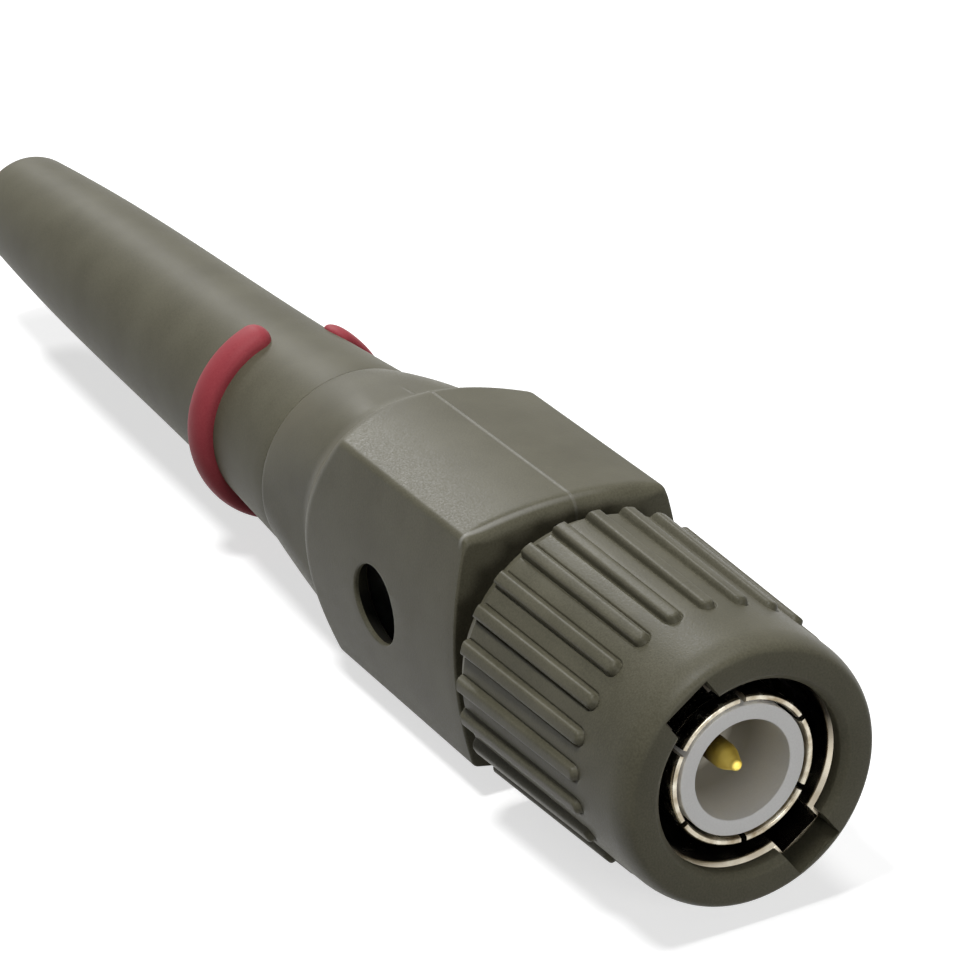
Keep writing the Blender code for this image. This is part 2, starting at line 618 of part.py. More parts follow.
def bayonet_shell(parts, cutters):
    outline = [
        (SHELL_FRONT_DEPTH, SHELL_RADIUS - 0.1),
        (SHELL_FRONT_DEPTH + 0.1, SHELL_RADIUS),
        (SHELL_END_DEPTH, SHELL_RADIUS),
        (SHELL_END_DEPTH, SHELL_FLANGE_BORE),
        (SHELL_FLANGE_DEPTH, SHELL_FLANGE_BORE),
        (SHELL_FLANGE_DEPTH, SHELL_CHAMBER_RADIUS),
        (SHELL_CHAMBER_DEPTH, SHELL_CHAMBER_RADIUS),
        (SHELL_CHAMBER_DEPTH, SHELL_BORE_RADIUS),
        (SHELL_FRONT_DEPTH + 0.12, SHELL_BORE_RADIUS),
        (SHELL_FRONT_DEPTH, SHELL_BORE_RADIUS + 0.12),
    ]
    shell = turned("bayonet_shell", outline, parts, NICKEL)
    floor = SHELL_BORE_RADIUS + LUG_TRACK_DEPTH
    entry_end = SHELL_FRONT_DEPTH + LUG_ENTRY_LENGTH
    for cutter in lug_cutters("lug_entry", LUG_TRACK_WIDTH, floor, 0.0, entry_end, cutters):
        combine(shell, cutter, "DIFFERENCE")
    for index in range(2):
        combine(shell, helical_track(index, cutters), "DIFFERENCE")
    return shell


def thrust_washer(parts):
    radius = SHELL_CHAMBER_RADIUS - REST_GAP
    outline = washer_outline(THRUST_DEPTH, THRUST_WASHER_LENGTH, SHELL_FLANGE_BORE, radius)
    return turned("thrust_washer", outline, parts, SPRING_STEEL, segments=NARROW_SEGMENTS)


def washer_outline(depth, length, bore, radius):
    return [(depth, radius), (depth + length, radius), (depth + length, bore), (depth, bore)]


# ---------------------------------------------------------------- plug


def outer_contact(parts, cutters):
    front = CONTACT_FRONT_DEPTH
    rim = CONTACT_WALL / 2.0
    middle = CONTACT_RADIUS - rim
    outline = [(front + rim - y, middle + x) for x, y in arc((0.0, 0.0), rim, 90.0, 0.0, 4)]
    outline += [
        (front + CONTACT_BEAD_LENGTH, CONTACT_RADIUS),
        (front + CONTACT_BEAD_LENGTH + 2 * CONTACT_RELIEF, CONTACT_RADIUS - CONTACT_RELIEF),
        (CONTACT_END_DEPTH, CONTACT_RADIUS - CONTACT_RELIEF),
        (CONTACT_END_DEPTH, CONTACT_BORE_RADIUS),
    ]
    outline += [(front + rim - y, middle + x) for x, y in arc((0.0, 0.0), rim, 180.0, 120.0, 2)]
    contact = turned("outer_contact", outline, parts, NICKEL)
    reach = CONTACT_RADIUS + 1.0
    half = CONTACT_SLOT_WIDTH / 2.0
    for index in range(CONTACT_SLOT_COUNT // 2):
        slot = block(
            f"contact_slot_{index}",
            (front - 1.0, -reach, -half),
            (front + CONTACT_SLOT_LENGTH, reach, half),
            cutters,
        )
        turned_about_axis(slot, CONTACT_SLOT_ANGLE + index * 360.0 / CONTACT_SLOT_COUNT)
        combine(contact, as_cutter(slot), "DIFFERENCE")
    return contact


def front_insulator(parts):
    front = CONTACT_FRONT_DEPTH + INSULATOR_SETBACK
    floor = front + INSULATOR_BORE_LENGTH
    end = CONTACT_END_DEPTH
    hole = PIN_RADIUS + SLIP_GAP
    outline = [
        (front, INSULATOR_RADIUS - INSULATOR_EDGE),
        (front + INSULATOR_EDGE, INSULATOR_RADIUS),
        (end, INSULATOR_RADIUS),
        (end, hole),
        (floor, hole),
        (floor, INSULATOR_BORE_RADIUS),
        (front + INSULATOR_EDGE, INSULATOR_BORE_RADIUS),
        (front, INSULATOR_BORE_RADIUS + INSULATOR_EDGE),
    ]
    return turned("front_insulator", outline, parts, WHITE_INSULATOR)


def rear_insulator(parts):
    start = BODY_SOCKET_FLOOR + 2 * SLIP_GAP + PIN_COLLAR_LENGTH
    outline = washer_outline(start, REAR_INSULATOR_LENGTH, PIN_RADIUS + SLIP_GAP, BODY_BORE_RADIUS - SLIP_GAP)
    return turned("rear_insulator", outline, parts, WHITE_INSULATOR, segments=NARROW_SEGMENTS)


def centre_pin(parts):
    taper_end = PIN_TIP_DEPTH + PIN_TAPER_LENGTH
    collar = BODY_SOCKET_FLOOR + SLIP_GAP
    outline = [
        (PIN_TIP_DEPTH, 0.0),
        (PIN_TIP_DEPTH + PIN_TIP_RADIUS * 0.3, PIN_TIP_RADIUS * 0.75),
        (PIN_TIP_DEPTH + PIN_TIP_RADIUS, PIN_TIP_RADIUS * 1.2),
        (taper_end, PIN_RADIUS),
        (collar, PIN_RADIUS),
        (collar, PIN_RADIUS + PIN_COLLAR_WIDTH),
        (collar + PIN_COLLAR_LENGTH, PIN_RADIUS + PIN_COLLAR_WIDTH),
        (collar + PIN_COLLAR_LENGTH, PIN_RADIUS),
        (PIN_END_DEPTH, PIN_RADIUS),
        (PIN_END_DEPTH, PIN_RADIUS - PIN_CUP_WALL),
        (PIN_END_DEPTH - PIN_CUP_LENGTH, PIN_RADIUS - PIN_CUP_WALL),
        (PIN_END_DEPTH - PIN_CUP_LENGTH, 0.0),
    ]
    return turned("centre_pin", outline, parts, GOLD, segments=PIN_SEGMENTS, ring=False)


def plug_body(parts):
    socket_radius = BODY_SOCKET_BORE + BODY_SOCKET_WALL
    collar_start = HOUSING_FRONT_DEPTH - REST_GAP - BODY_COLLAR_LENGTH
    groove_start = RING_DEPTH - SLIP_GAP
    groove_end = RING_DEPTH + RING_LENGTH + SLIP_GAP
    groove_radius = BODY_JOURNAL_RADIUS - GROOVE_DEPTH
    outline = [
        (BODY_FRONT_DEPTH, socket_radius),
        (BODY_FLANGE_DEPTH, socket_radius),
        (BODY_FLANGE_DEPTH, BODY_FLANGE_RADIUS),
        (BODY_FLANGE_END, BODY_FLANGE_RADIUS),
        (BODY_FLANGE_END, BODY_JOURNAL_RADIUS),
        (groove_start, BODY_JOURNAL_RADIUS),
        (groove_start, groove_radius),
        (groove_end, groove_radius),
        (groove_end, BODY_JOURNAL_RADIUS),
        (collar_start, BODY_JOURNAL_RADIUS),
        (collar_start, BODY_JOURNAL_RADIUS + BODY_COLLAR_WIDTH),
        (HOUSING_FRONT_DEPTH - REST_GAP, BODY_JOURNAL_RADIUS + BODY_COLLAR_WIDTH),
        (HOUSING_FRONT_DEPTH - REST_GAP, BODY_JOURNAL_RADIUS),
        (NECK_END_DEPTH, BODY_JOURNAL_RADIUS),
        (NECK_END_DEPTH, BODY_THREAD_RADIUS),
        (CHAMBER_DEPTH, BODY_THREAD_RADIUS),
        (CHAMBER_DEPTH, BODY_TAIL_RADIUS),
        (TAIL_END_DEPTH, BODY_TAIL_RADIUS),
        (TAIL_END_DEPTH, BODY_BORE_RADIUS),
        (BODY_SOCKET_FLOOR, BODY_BORE_RADIUS),
        (BODY_SOCKET_FLOOR, BODY_SOCKET_BORE),
        (BODY_FRONT_DEPTH, BODY_SOCKET_BORE),
    ]
    return turned("plug_body", outline, parts, NICKEL, segments=NARROW_SEGMENTS)


def face_gasket(parts):
    outline = washer_outline(
        BODY_FRONT_DEPTH - REST_GAP - GASKET_LENGTH, GASKET_LENGTH,
        BODY_SOCKET_BORE, BODY_SOCKET_BORE + GASKET_WALL,
    )
    return turned("face_gasket", outline, parts, SILICONE, segments=NARROW_SEGMENTS)


def wave_washer(parts):
    """A spring washer drawn at its working height, its waves formed from a flat ring."""
    middle = BODY_FLANGE_END + SLIP_GAP + WAVE_HEIGHT / 2.0
    start = middle - WAVE_STRIP / 2.0
    outline = washer_outline(start, WAVE_STRIP, SHELL_FLANGE_BORE, BODY_FLANGE_RADIUS)
    washer = evaluated_mesh(turned("wave_washer", outline, parts, SPRING_STEEL), "wave_washer")
    amplitude = (WAVE_HEIGHT - WAVE_STRIP) / 2.0 * MM
    for vert in washer.data.vertices:
        angle = math.atan2(vert.co.y, vert.co.x)
        vert.co.z += amplitude * math.cos(WAVE_COUNT * angle)
    return washer


def retaining_ring(parts, cutters):
    bore = BODY_JOURNAL_RADIUS - GROOVE_DEPTH + SLIP_GAP
    outline = washer_outline(RING_DEPTH, RING_LENGTH, bore, bore + RING_WALL)
    ring = turned("retaining_ring", outline, parts, SPRING_STEEL)
    half = RING_GAP_WIDTH / 2.0
    gap = block(
        "ring_gap",
        (RING_DEPTH - 1.0, -half, 0.0),
        (RING_DEPTH + RING_LENGTH + 1.0, half, bore + RING_WALL + 1.0),
        cutters,
    )
    combine(ring, as_cutter(gap), "DIFFERENCE")
    return ring


def body_nut(parts, cutters):
    mesh = bpy.data.meshes.new("body_nut")
    shape = bmesh.new()
    bmesh.ops.create_cone(
        shape, cap_ends=True, segments=6,
        radius1=NUT_CORNER_RADIUS * MM, radius2=NUT_CORNER_RADIUS * MM, depth=NUT_LENGTH * MM,
    )
    shape.to_mesh(mesh)
    shape.free()
    nut = add_object("body_nut", mesh, parts, NICKEL)
    nut.location = (x_at(NUT_DEPTH + NUT_LENGTH / 2.0), 0.0, PLUG_AXIS_Z * MM)
    nut.rotation_euler = (0.0, math.radians(90.0), 0.0)
    bore = round_bar(
        "nut_bore", (NUT_DEPTH - 1.0, 0.0, 0.0), (NUT_DEPTH + NUT_LENGTH + 1.0, 0.0, 0.0),
        NUT_BORE_RADIUS, cutters,
    )
    combine(nut, as_cutter(bore), "DIFFERENCE")
    return nut


def ground_lug(parts, cutters):
    bore = BODY_TAIL_RADIUS + SLIP_GAP
    lug = turned(
        "ground_lug", washer_outline(LUG_DEPTH, LUG_STRIP, bore, bore + LUG_RING_WIDTH), parts, TINNED_STEEL,
        segments=NARROW_SEGMENTS,
    )
    back_y = BOARD_FACE_Y + BOARD_THICKNESS + REST_GAP
    drop = math.sqrt(max(bore ** 2 - back_y ** 2, 0.0))
    tab = block(
        "lug_tab",
        (LUG_DEPTH + LUG_STRIP / 2.0, back_y, -drop - LUG_TAB_WIDTH),
        (LUG_DEPTH + LUG_TAB_LENGTH, back_y + LUG_STRIP, -drop),
        cutters,
    )
    combine(lug, as_cutter(tab), "UNION")
    return lug


# ---------------------------------------------------------------- housing


def section_outline():
    """The housing's cross section, as (y, height) points: four crowned sides and rounded corners."""
    middle = (HOUSING_TOP - HOUSING_BOTTOM) / 2.0
    half_height = (HOUSING_TOP + HOUSING_BOTTOM) / 2.0
    edge = HOUSING_EDGE_RADIUS
    sides = (
        (HOUSING_HALF_WIDTH, half_height, HOUSING_SIDE_CROWN),
        (half_height, HOUSING_HALF_WIDTH, HOUSING_TOP_CROWN),
    )
    points = []
    steps = 10
    for quarter in range(4):
        reach, half, crown = sides[quarter % 2]
        turn = Matrix.Rotation(math.radians(90.0 * quarter), 2)
        for i in range(steps + 1):
            along = (half - edge) * (2.0 * i / steps - 1.0)
            out = reach + crown * (1.0 - (along / half) ** 2)
            points.append(turn @ Vector((out, along)))
        corner = Vector((reach - edge, half - edge))
        points.append(turn @ (corner + edge * Vector((0.87, 0.5))))
        points.append(turn @ (corner + edge * Vector((0.5, 0.87))))
    return [(y, z + middle) for y, z in points]


def collar_ring(depth, half_width, half_height, corner, steps):
    """One ring of the collar's loft: a rounded rectangle about the boot's axis."""
    across = half_width - corner
    up = half_height - corner
    points = []
    for quarter, (sign_y, sign_z) in enumerate(((1, 1), (-1, 1), (-1, -1), (1, -1))):
        for y, z in arc((sign_y * across, sign_z * up), corner, 90.0 * quarter, 90.0 * (quarter + 1), steps):
            points.append(Vector((x_at(depth), y * MM, (BOOT_AXIS_Z + z) * MM)))
    return points


def collar_loft(name, cutters):
    """The collar: it starts as a rounded rectangle inside the box and ends as the boot's circle."""
    end_radius = BOOT_NECK_RADIUS + COLLAR_STEP
    start_width = HOUSING_HALF_WIDTH - COLLAR_WIDTH_STEP
    start_height = HOUSING_TOP + COLLAR_HEIGHT_STEP
    start_depth = SHOULDER_DEPTH - 1.0
    shape = bmesh.new()
    rings = []
    for share in (0.0, 0.3, 0.45, 0.6, 0.75, 0.88, 0.98, 1.0):
        shrink = COLLAR_ROUNDING if share == 1.0 else 0.0
        half_width = start_width + (end_radius - start_width) * share ** 2 - shrink
        half_height = start_height + (end_radius - start_height) * share ** 2 - shrink
        corner = COLLAR_CORNER_RADIUS + (end_radius - 0.02 - COLLAR_CORNER_RADIUS) * share ** 1.5 - shrink
        depth = start_depth + (COLLAR_END_DEPTH - start_depth) * share
        points = collar_ring(depth, half_width, half_height, corner, steps=5)
        rings.append([shape.verts.new(point) for point in points])
    count = len(rings[0])
    for front, rear in zip(rings[:-1], rings[1:]):
        for i in range(count):
            j = (i + 1) % count
            shape.faces.new((front[i], front[j], rear[j], rear[i]))
    shape.faces.new(list(reversed(rings[0])))
    shape.faces.new(rings[-1])
    bmesh.ops.recalc_face_normals(shape, faces=shape.faces)
    mesh = bpy.data.meshes.new(name)
    shape.to_mesh(mesh)
    shape.free()
    return as_cutter(add_object(name, mesh, cutters))


def housing_form(parts, cutters, name):
    """The housing's outer form, both shells in one."""
    start = HOUSING_FRONT_DEPTH
    length = COLLAR_END_DEPTH - start
    placement = Matrix.Translation((x_at(start + length / 2.0), 0.0, PLUG_AXIS_Z * MM))
    placement @= Matrix(((0, 0, 1, 0), (1, 0, 0, 0), (0, 1, 0, 0), (0, 0, 0, 1)))
    form = extruded(name, section_outline(), length, placement, parts)
    rim = bevel_edges(form, HOUSING_RIM_RADIUS, segments=2)
    rim.angle_limit = math.radians(70.0)
    envelope = turned(
        f"{name}_shoulder",
        [
            (start - 2.0, 0.0),
            (start - 2.0, SHOULDER_RADIUS + 1.0),
            (SHOULDER_DEPTH - 1.0, SHOULDER_RADIUS + 1.0),
            (SHOULDER_DEPTH, SHOULDER_RADIUS),
            (SHOULDER_END_DEPTH, SHOULDER_END_RADIUS),
            (SHOULDER_END_DEPTH, 0.0),
        ],
        cutters, axis_z=BOOT_AXIS_Z, ring=False,
    )
    combine(form, as_cutter(envelope), "INTERSECT")
    combine(form, collar_loft(f"{name}_collar", cutters), "UNION")
    return form


def housing_hollows(cutters):
    """What is cut out of both shells, from front to rear."""
    front = turned(
        "front_hollow",
        [
            (HOUSING_FRONT_DEPTH - 1.0, 0.0),
            (HOUSING_FRONT_DEPTH - 1.0, BODY_JOURNAL_RADIUS + REST_GAP),
            (NECK_END_DEPTH, BODY_JOURNAL_RADIUS + REST_GAP),
            (NECK_END_DEPTH, NUT_CORNER_RADIUS + REST_GAP),
            (SHIELD_DEPTH - SLIP_GAP, NUT_CORNER_RADIUS + REST_GAP),
            (SHIELD_DEPTH - SLIP_GAP, 0.0),
        ],
        cutters, ring=False,
    )
    chamber = block(
        "chamber",
        (CHAMBER_DEPTH, -CHAMBER_HALF_WIDTH, -CHAMBER_BOTTOM),
        (ANCHOR_DEPTH, CHAMBER_HALF_WIDTH, CHAMBER_TOP),
        cutters,
    )
    spigot = BOOT_SPIGOT_RADIUS + REST_GAP
    disc = ANCHOR_DISC_RADIUS + REST_GAP
    rear = turned(
        "rear_hollow",
        [
            (ANCHOR_DEPTH - 0.2, 0.0),
            (ANCHOR_DEPTH - 0.2, disc),
            (ANCHOR_DISC_END + REST_GAP, disc),
            (ANCHOR_DISC_END + REST_GAP, BOOT_POCKET_RADIUS),
            (BOOT_FLANGE_DEPTH - REST_GAP, BOOT_POCKET_RADIUS),
            (BOOT_FLANGE_DEPTH - REST_GAP, BOOT_FLANGE_RADIUS + SLIP_GAP),
            (BOOT_SPIGOT_DEPTH + REST_GAP, BOOT_FLANGE_RADIUS + SLIP_GAP),
            (BOOT_SPIGOT_DEPTH + REST_GAP, spigot),
            (COLLAR_END_DEPTH + 1.0, spigot),
            (COLLAR_END_DEPTH + 1.0, 0.0),
        ],
        cutters, axis_z=BOOT_AXIS_Z, ring=False,
    )
    return [as_cutter(item) for item in (front, chamber, rear)]


def housing_shell(name, side, hollows, parts, cutters):
    """One of the two shells. Side is -1 for the shell with the trimmer's hole, +1 for the other."""
    shell = housing_form(parts, cutters, name)
    shell.data.materials.append(make_material(PLASTIC))
    for hollow in hollows:
        combine(shell, hollow, "DIFFERENCE")
    near = side * PARTING_GAP / 2.0
    far = side * (HOUSING_HALF_WIDTH + 2.0)
    half = block(
        f"{name}_half",
        (HOUSING_FRONT_DEPTH - 2.0, min(near, far), -2.0 * HOUSING_BOTTOM),
        (COLLAR_END_DEPTH + 2.0, max(near, far), 2.0 * HOUSING_TOP),
        cutters,
    )
    combine(shell, as_cutter(half), "INTERSECT")
    return shell


def trimmer_hole(cutters):
    hole = round_bar(
        "trimmer_hole",
        (TRIMMER_DEPTH, -HOUSING_HALF_WIDTH - 2.0, -TRIMMER_DROP),
        (TRIMMER_DEPTH, -SHIELD_WALL * 2.0 - BOARD_FACE_Y, -TRIMMER_DROP),
        TRIMMER_HOLE_RADIUS, cutters,
    )
    return as_cutter(hole)


# ---------------------------------------------------------------- compensation network


def shield_can(hole, parts, cutters):
    can = block(
        "shield_can",
        (SHIELD_DEPTH, -SHIELD_HALF_WIDTH, -SHIELD_BOTTOM),
        (SHIELD_END_DEPTH, SHIELD_HALF_WIDTH, SHIELD_TOP),
        parts, TINNED_STEEL,
    )
    inside = block(
        "shield_inside",
        (SHIELD_DEPTH - 1.0, SHIELD_WALL - SHIELD_HALF_WIDTH, SHIELD_WALL - SHIELD_BOTTOM),
        (SHIELD_END_DEPTH + 1.0, SHIELD_HALF_WIDTH - SHIELD_WALL, SHIELD_TOP - SHIELD_WALL),
        cutters,
    )
    combine(can, as_cutter(inside), "DIFFERENCE")
    combine(can, hole, "DIFFERENCE")
    return can


def circuit_board(parts):
    return block(
        "circuit_board",
        (BOARD_DEPTH, BOARD_FACE_Y, -BOARD_BOTTOM),
        (BOARD_END_DEPTH, BOARD_FACE_Y + BOARD_THICKNESS, BOARD_TOP),
        parts, BOARD_GREEN,
    )


def trimmer(parts, cutters):
    """The trimmer capacitor: its body on the board, its rotor facing the hole, its two terminals."""
    half = TRIMMER_SIZE / 2.0
    seat_y = BOARD_FACE_Y - REST_GAP
    face_y = seat_y - TRIMMER_HEIGHT
    floor_y = face_y + TRIMMER_RECESS
    body = block(
        "trimmer_body",
        (TRIMMER_DEPTH - half, face_y, -TRIMMER_DROP - half),
        (TRIMMER_DEPTH + half, seat_y, -TRIMMER_DROP + half),
        parts, TRIMMER_PLASTIC,
    )
    bevel_edges(body, 0.25)
    recess = round_bar(
        "trimmer_recess",
        (TRIMMER_DEPTH, face_y - 1.0, -TRIMMER_DROP),
        (TRIMMER_DEPTH, floor_y, -TRIMMER_DROP),
        ROTOR_RADIUS + REST_GAP, cutters,
    )
    combine(body, as_cutter(recess), "DIFFERENCE")
    stem_hole = round_bar(
        "stem_hole",
        (TRIMMER_DEPTH, face_y, -TRIMMER_DROP),
        (TRIMMER_DEPTH, seat_y + 1.0, -TRIMMER_DROP),
        ROTOR_STEM_RADIUS + REST_GAP, cutters, segments=PIN_SEGMENTS,
    )
    combine(body, as_cutter(stem_hole), "DIFFERENCE")

    rotor_back = floor_y - REST_GAP
    rotor_front = rotor_back - ROTOR_HEIGHT
    points = [
        (rotor_front, 0.0),
        (rotor_front, ROTOR_RADIUS - 0.12),
        (rotor_front + 0.12, ROTOR_RADIUS),
        (rotor_back, ROTOR_RADIUS),
        (rotor_back, ROTOR_STEM_RADIUS),
        (seat_y - REST_GAP, ROTOR_STEM_RADIUS),
        (seat_y - REST_GAP, 0.0),
    ]
    mesh = bpy.data.meshes.new("trimmer_rotor")
    mesh.from_pydata(
        [(radius * MM, 0.0, -y * MM) for y, radius in points],
        [(i, i + 1) for i in range(len(points) - 1)], [],
    )
    rotor = add_object("trimmer_rotor", mesh, parts, NICKEL)
    rotor.location = (x_at(TRIMMER_DEPTH), 0.0, (PLUG_AXIS_Z - TRIMMER_DROP) * MM)
    rotor.rotation_euler = (math.radians(90.0), 0.0, 0.0)
    screw = rotor.modifiers.new("turn", "SCREW")
    screw.axis = "Z"
    screw.steps = NARROW_SEGMENTS
    screw.render_steps = NARROW_SEGMENTS
    screw.use_merge_vertices = True
    screw.merge_threshold = 0.00001
    slot_half = ROTOR_SLOT_WIDTH / 2.0
    reach = ROTOR_RADIUS + 1.0
    slot = block(
        "rotor_slot",
        (TRIMMER_DEPTH - reach, rotor_front - 1.0, -TRIMMER_DROP - slot_half),
        (TRIMMER_DEPTH + reach, rotor_front + ROTOR_SLOT_DEPTH, -TRIMMER_DROP + slot_half),
        cutters,
    )
    combine(rotor, as_cutter(slot), "DIFFERENCE")

    for name, side in (("front_terminal", -1), ("rear_terminal", 1)):
        near = TRIMMER_DEPTH + side * (half + REST_GAP)
        far = near + side * TERMINAL_THICKNESS
        block(
            name,
            (min(near, far), seat_y - TERMINAL_HEIGHT, -TRIMMER_DROP - TERMINAL_WIDTH / 2.0),
            (max(near, far), seat_y, -TRIMMER_DROP + TERMINAL_WIDTH / 2.0),
            parts, TINNED_STEEL,
        )


def chip(name, depth, face_y, direction, size, finish, parts):
    """A chip part soldered to a face of the board, which it leaves in the given direction."""
    length, height = size
    near = face_y + direction * REST_GAP
    far = near + direction * height
    item = block(
        name,
        (depth, min(near, far), CHIP_ROW_HEIGHT - CHIP_WIDTH / 2.0),
        (depth + length, max(near, far), CHIP_ROW_HEIGHT + CHIP_WIDTH / 2.0),
        parts, finish,
    )
    bevel_edges(item, 0.08)
    return item


def chips(parts):
    back_y = BOARD_FACE_Y + BOARD_THICKNESS
    first = PIN_END_DEPTH + CHIP_SETBACK
    second = first + CAPACITOR_LENGTH + CHIP_SPACE
    behind = (first + second + DAMPING_RESISTOR_LENGTH - SHUNT_RESISTOR_LENGTH) / 2.0
    capacitor = (CAPACITOR_LENGTH, CAPACITOR_HEIGHT)
    damping = (DAMPING_RESISTOR_LENGTH, RESISTOR_HEIGHT)
    shunt = (SHUNT_RESISTOR_LENGTH, RESISTOR_HEIGHT)
    chip("fixed_capacitor", first, BOARD_FACE_Y, -1, capacitor, CERAMIC, parts)
    chip("damping_resistor", second, BOARD_FACE_Y, -1, damping, CHIP_BLACK, parts)
    chip("shunt_resistor", behind, back_y, 1, shunt, CHIP_BLACK, parts)


def signal_lead(parts):
    """The wire from the pin's solder cup up to the pad beside the fixed capacitor."""
    face = BOARD_FACE_Y - REST_GAP - LEAD_RADIUS
    route = [
        (PIN_END_DEPTH - LEAD_INSERTION, 0.0, 0.0),
        (PIN_END_DEPTH + 0.05, 0.0, 0.0),
        (PIN_END_DEPTH + 0.25, face * 0.2, 0.3),
        (PIN_END_DEPTH + 0.3, face * 0.5, 0.8),
        (PIN_END_DEPTH + 0.3, face, 1.6),
        (PIN_END_DEPTH + 0.3, face, CHIP_ROW_HEIGHT),
    ]
    curve = bpy.data.curves.new("signal_lead", "CURVE")
    curve.dimensions = "3D"
    curve.bevel_depth = LEAD_RADIUS * MM
    curve.bevel_resolution = 2
    curve.use_fill_caps = True
    spline = curve.splines.new("POLY")
    spline.points.add(len(route) - 1)
    for point, (depth, y, height) in zip(spline.points, route):
        point.co = (x_at(depth), y * MM, (PLUG_AXIS_Z + height) * MM, 1.0)
    curve.materials.append(make_material(COPPER))
    lead = bpy.data.objects.new("signal_lead", curve)
    parts.objects.link(lead)
    return lead


# ---------------------------------------------------------------- cable end


def cable_anchor(parts):
    tube_end = ANCHOR_DISC_END + ANCHOR_TUBE_LENGTH
    bore = ANCHOR_TUBE_RADIUS - ANCHOR_TUBE_WALL
    outline = [
        (ANCHOR_DEPTH, ANCHOR_DISC_RADIUS),
        (ANCHOR_DISC_END, ANCHOR_DISC_RADIUS),
        (ANCHOR_DISC_END, ANCHOR_TUBE_RADIUS),
        (tube_end, ANCHOR_TUBE_RADIUS),
        (tube_end, bore),
        (ANCHOR_DEPTH, bore),
    ]
    return turned("cable_anchor", outline, parts, NICKEL, segments=NARROW_SEGMENTS, axis_z=BOOT_AXIS_Z)


def crimp_ferrule(parts):
    outline = washer_outline(FERRULE_DEPTH, FERRULE_LENGTH, FERRULE_BORE_RADIUS, FERRULE_RADIUS)
    return turned("crimp_ferrule", outline, parts, NICKEL, segments=NARROW_SEGMENTS, axis_z=BOOT_AXIS_Z)


def boot_radius(depth):
    """The boot's outer radius: a neck up to the marker ring, then a taper with a slight belly."""
    if depth <= MARKER_END_DEPTH:
        share = (depth - BOOT_SHOULDER_DEPTH) / (MARKER_END_DEPTH - BOOT_SHOULDER_DEPTH)
        return BOOT_NECK_RADIUS + (BOOT_RING_RADIUS - BOOT_NECK_RADIUS) * share
    share = (depth - MARKER_END_DEPTH) / (BOOT_END_DEPTH - MARKER_END_DEPTH)
    straight = BOOT_RING_RADIUS + (BOOT_END_RADIUS - BOOT_RING_RADIUS) * share
    return straight + BOOT_BELLY * math.sin(math.pi * share) * share


def strain_relief_boot(parts):
    steps = 7
    outline = [
        (BOOT_FLANGE_DEPTH, BOOT_FLANGE_RADIUS),
        (BOOT_SPIGOT_DEPTH, BOOT_FLANGE_RADIUS),
        (BOOT_SPIGOT_DEPTH, BOOT_SPIGOT_RADIUS),
        (BOOT_SHOULDER_DEPTH, BOOT_SPIGOT_RADIUS),
        (BOOT_SHOULDER_DEPTH, BOOT_NECK_RADIUS),
        (MARKER_END_DEPTH, boot_radius(MARKER_END_DEPTH)),
    ]
    end = BOOT_END_DEPTH - BOOT_END_ROUNDING
    for i in range(1, steps + 1):
        depth = MARKER_END_DEPTH + (end - MARKER_END_DEPTH) * i / steps
        outline.append((depth, boot_radius(depth)))
    pocket_end = FERRULE_END_DEPTH + BOOT_BORE_STEP
    outline += [
        (BOOT_END_DEPTH, BOOT_END_RADIUS - BOOT_END_ROUNDING),
        (BOOT_END_DEPTH, BOOT_BORE_RADIUS),
        (pocket_end, BOOT_BORE_RADIUS),
        (pocket_end, BOOT_POCKET_RADIUS),
        (BOOT_FLANGE_DEPTH, BOOT_POCKET_RADIUS),
    ]
    return turned("strain_relief_boot", outline, parts, BOOT_ELASTOMER, axis_z=BOOT_AXIS_Z)


def marker_ring(parts, cutters):
    """The colour clip: an open ring that snaps round the boot's neck."""
    bore = boot_radius(MARKER_DEPTH) + SLIP_GAP
    outer = boot_radius(MARKER_DEPTH) + MARKER_PROUD
    rounding = MARKER_ROUNDING
    middle = outer - rounding
    front, rear = MARKER_DEPTH + rounding, MARKER_END_DEPTH - rounding
    outline = [(front - y, middle + x) for x, y in arc((0.0, 0.0), rounding, 90.0, 0.0, 3)]
    outline += [(rear - y, middle + x) for x, y in arc((0.0, 0.0), rounding, 0.0, -90.0, 3)]
    outline += [(MARKER_END_DEPTH, bore), (MARKER_DEPTH, bore)]
    ring = turned("marker_ring", outline, parts, MARKER_RED, axis_z=BOOT_AXIS_Z)
    half = outer * MARKER_GAP_SHARE
    gap = block(
        "marker_gap", (MARKER_DEPTH - 1.0, -half, 0.0), (MARKER_END_DEPTH + 1.0, half, outer + 1.0), cutters,
    )
    turned_about_axis(gap, MARKER_GAP_ANGLE - 90.0)
    gap.location.z += (BOOT_AXIS_Z - PLUG_AXIS_Z) * MM
    combine(ring, as_cutter(gap), "DIFFERENCE")
    return ring


def build():
    clear_scene()
    parts = make_collection("probe_plug")
    cutters = make_collection("cutters")

    coupling_grip(parts, cutters)
    bayonet_shell(parts, cutters)
    thrust_washer(parts)

    outer_contact(parts, cutters)
    front_insulator(parts)
    rear_insulator(parts)
    centre_pin(parts)
    plug_body(parts)
    face_gasket(parts)
    wave_washer(parts)
    retaining_ring(parts, cutters)
    body_nut(parts, cutters)
    ground_lug(parts, cutters)

    hollows = housing_hollows(cutters)
    hole = trimmer_hole(cutters)
    left = housing_shell("housing_left", -1, hollows, parts, cutters)
    combine(left, hole, "DIFFERENCE")
    housing_shell("housing_right", 1, hollows, parts, cutters)

    shield_can(hole, parts, cutters)
    circuit_board(parts)
    trimmer(parts, cutters)
    chips(parts)
    signal_lead(parts)

    cable_anchor(parts)
    crimp_ferrule(parts)
    strain_relief_boot(parts)
    marker_ring(parts, cutters)

    for item in parts.objects:
        if item.type == "MESH" and item.data.polygons:
            smooth(item)


build()
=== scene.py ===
import math

import bmesh
import bpy
import numpy as np
from mathutils import Matrix, Vector


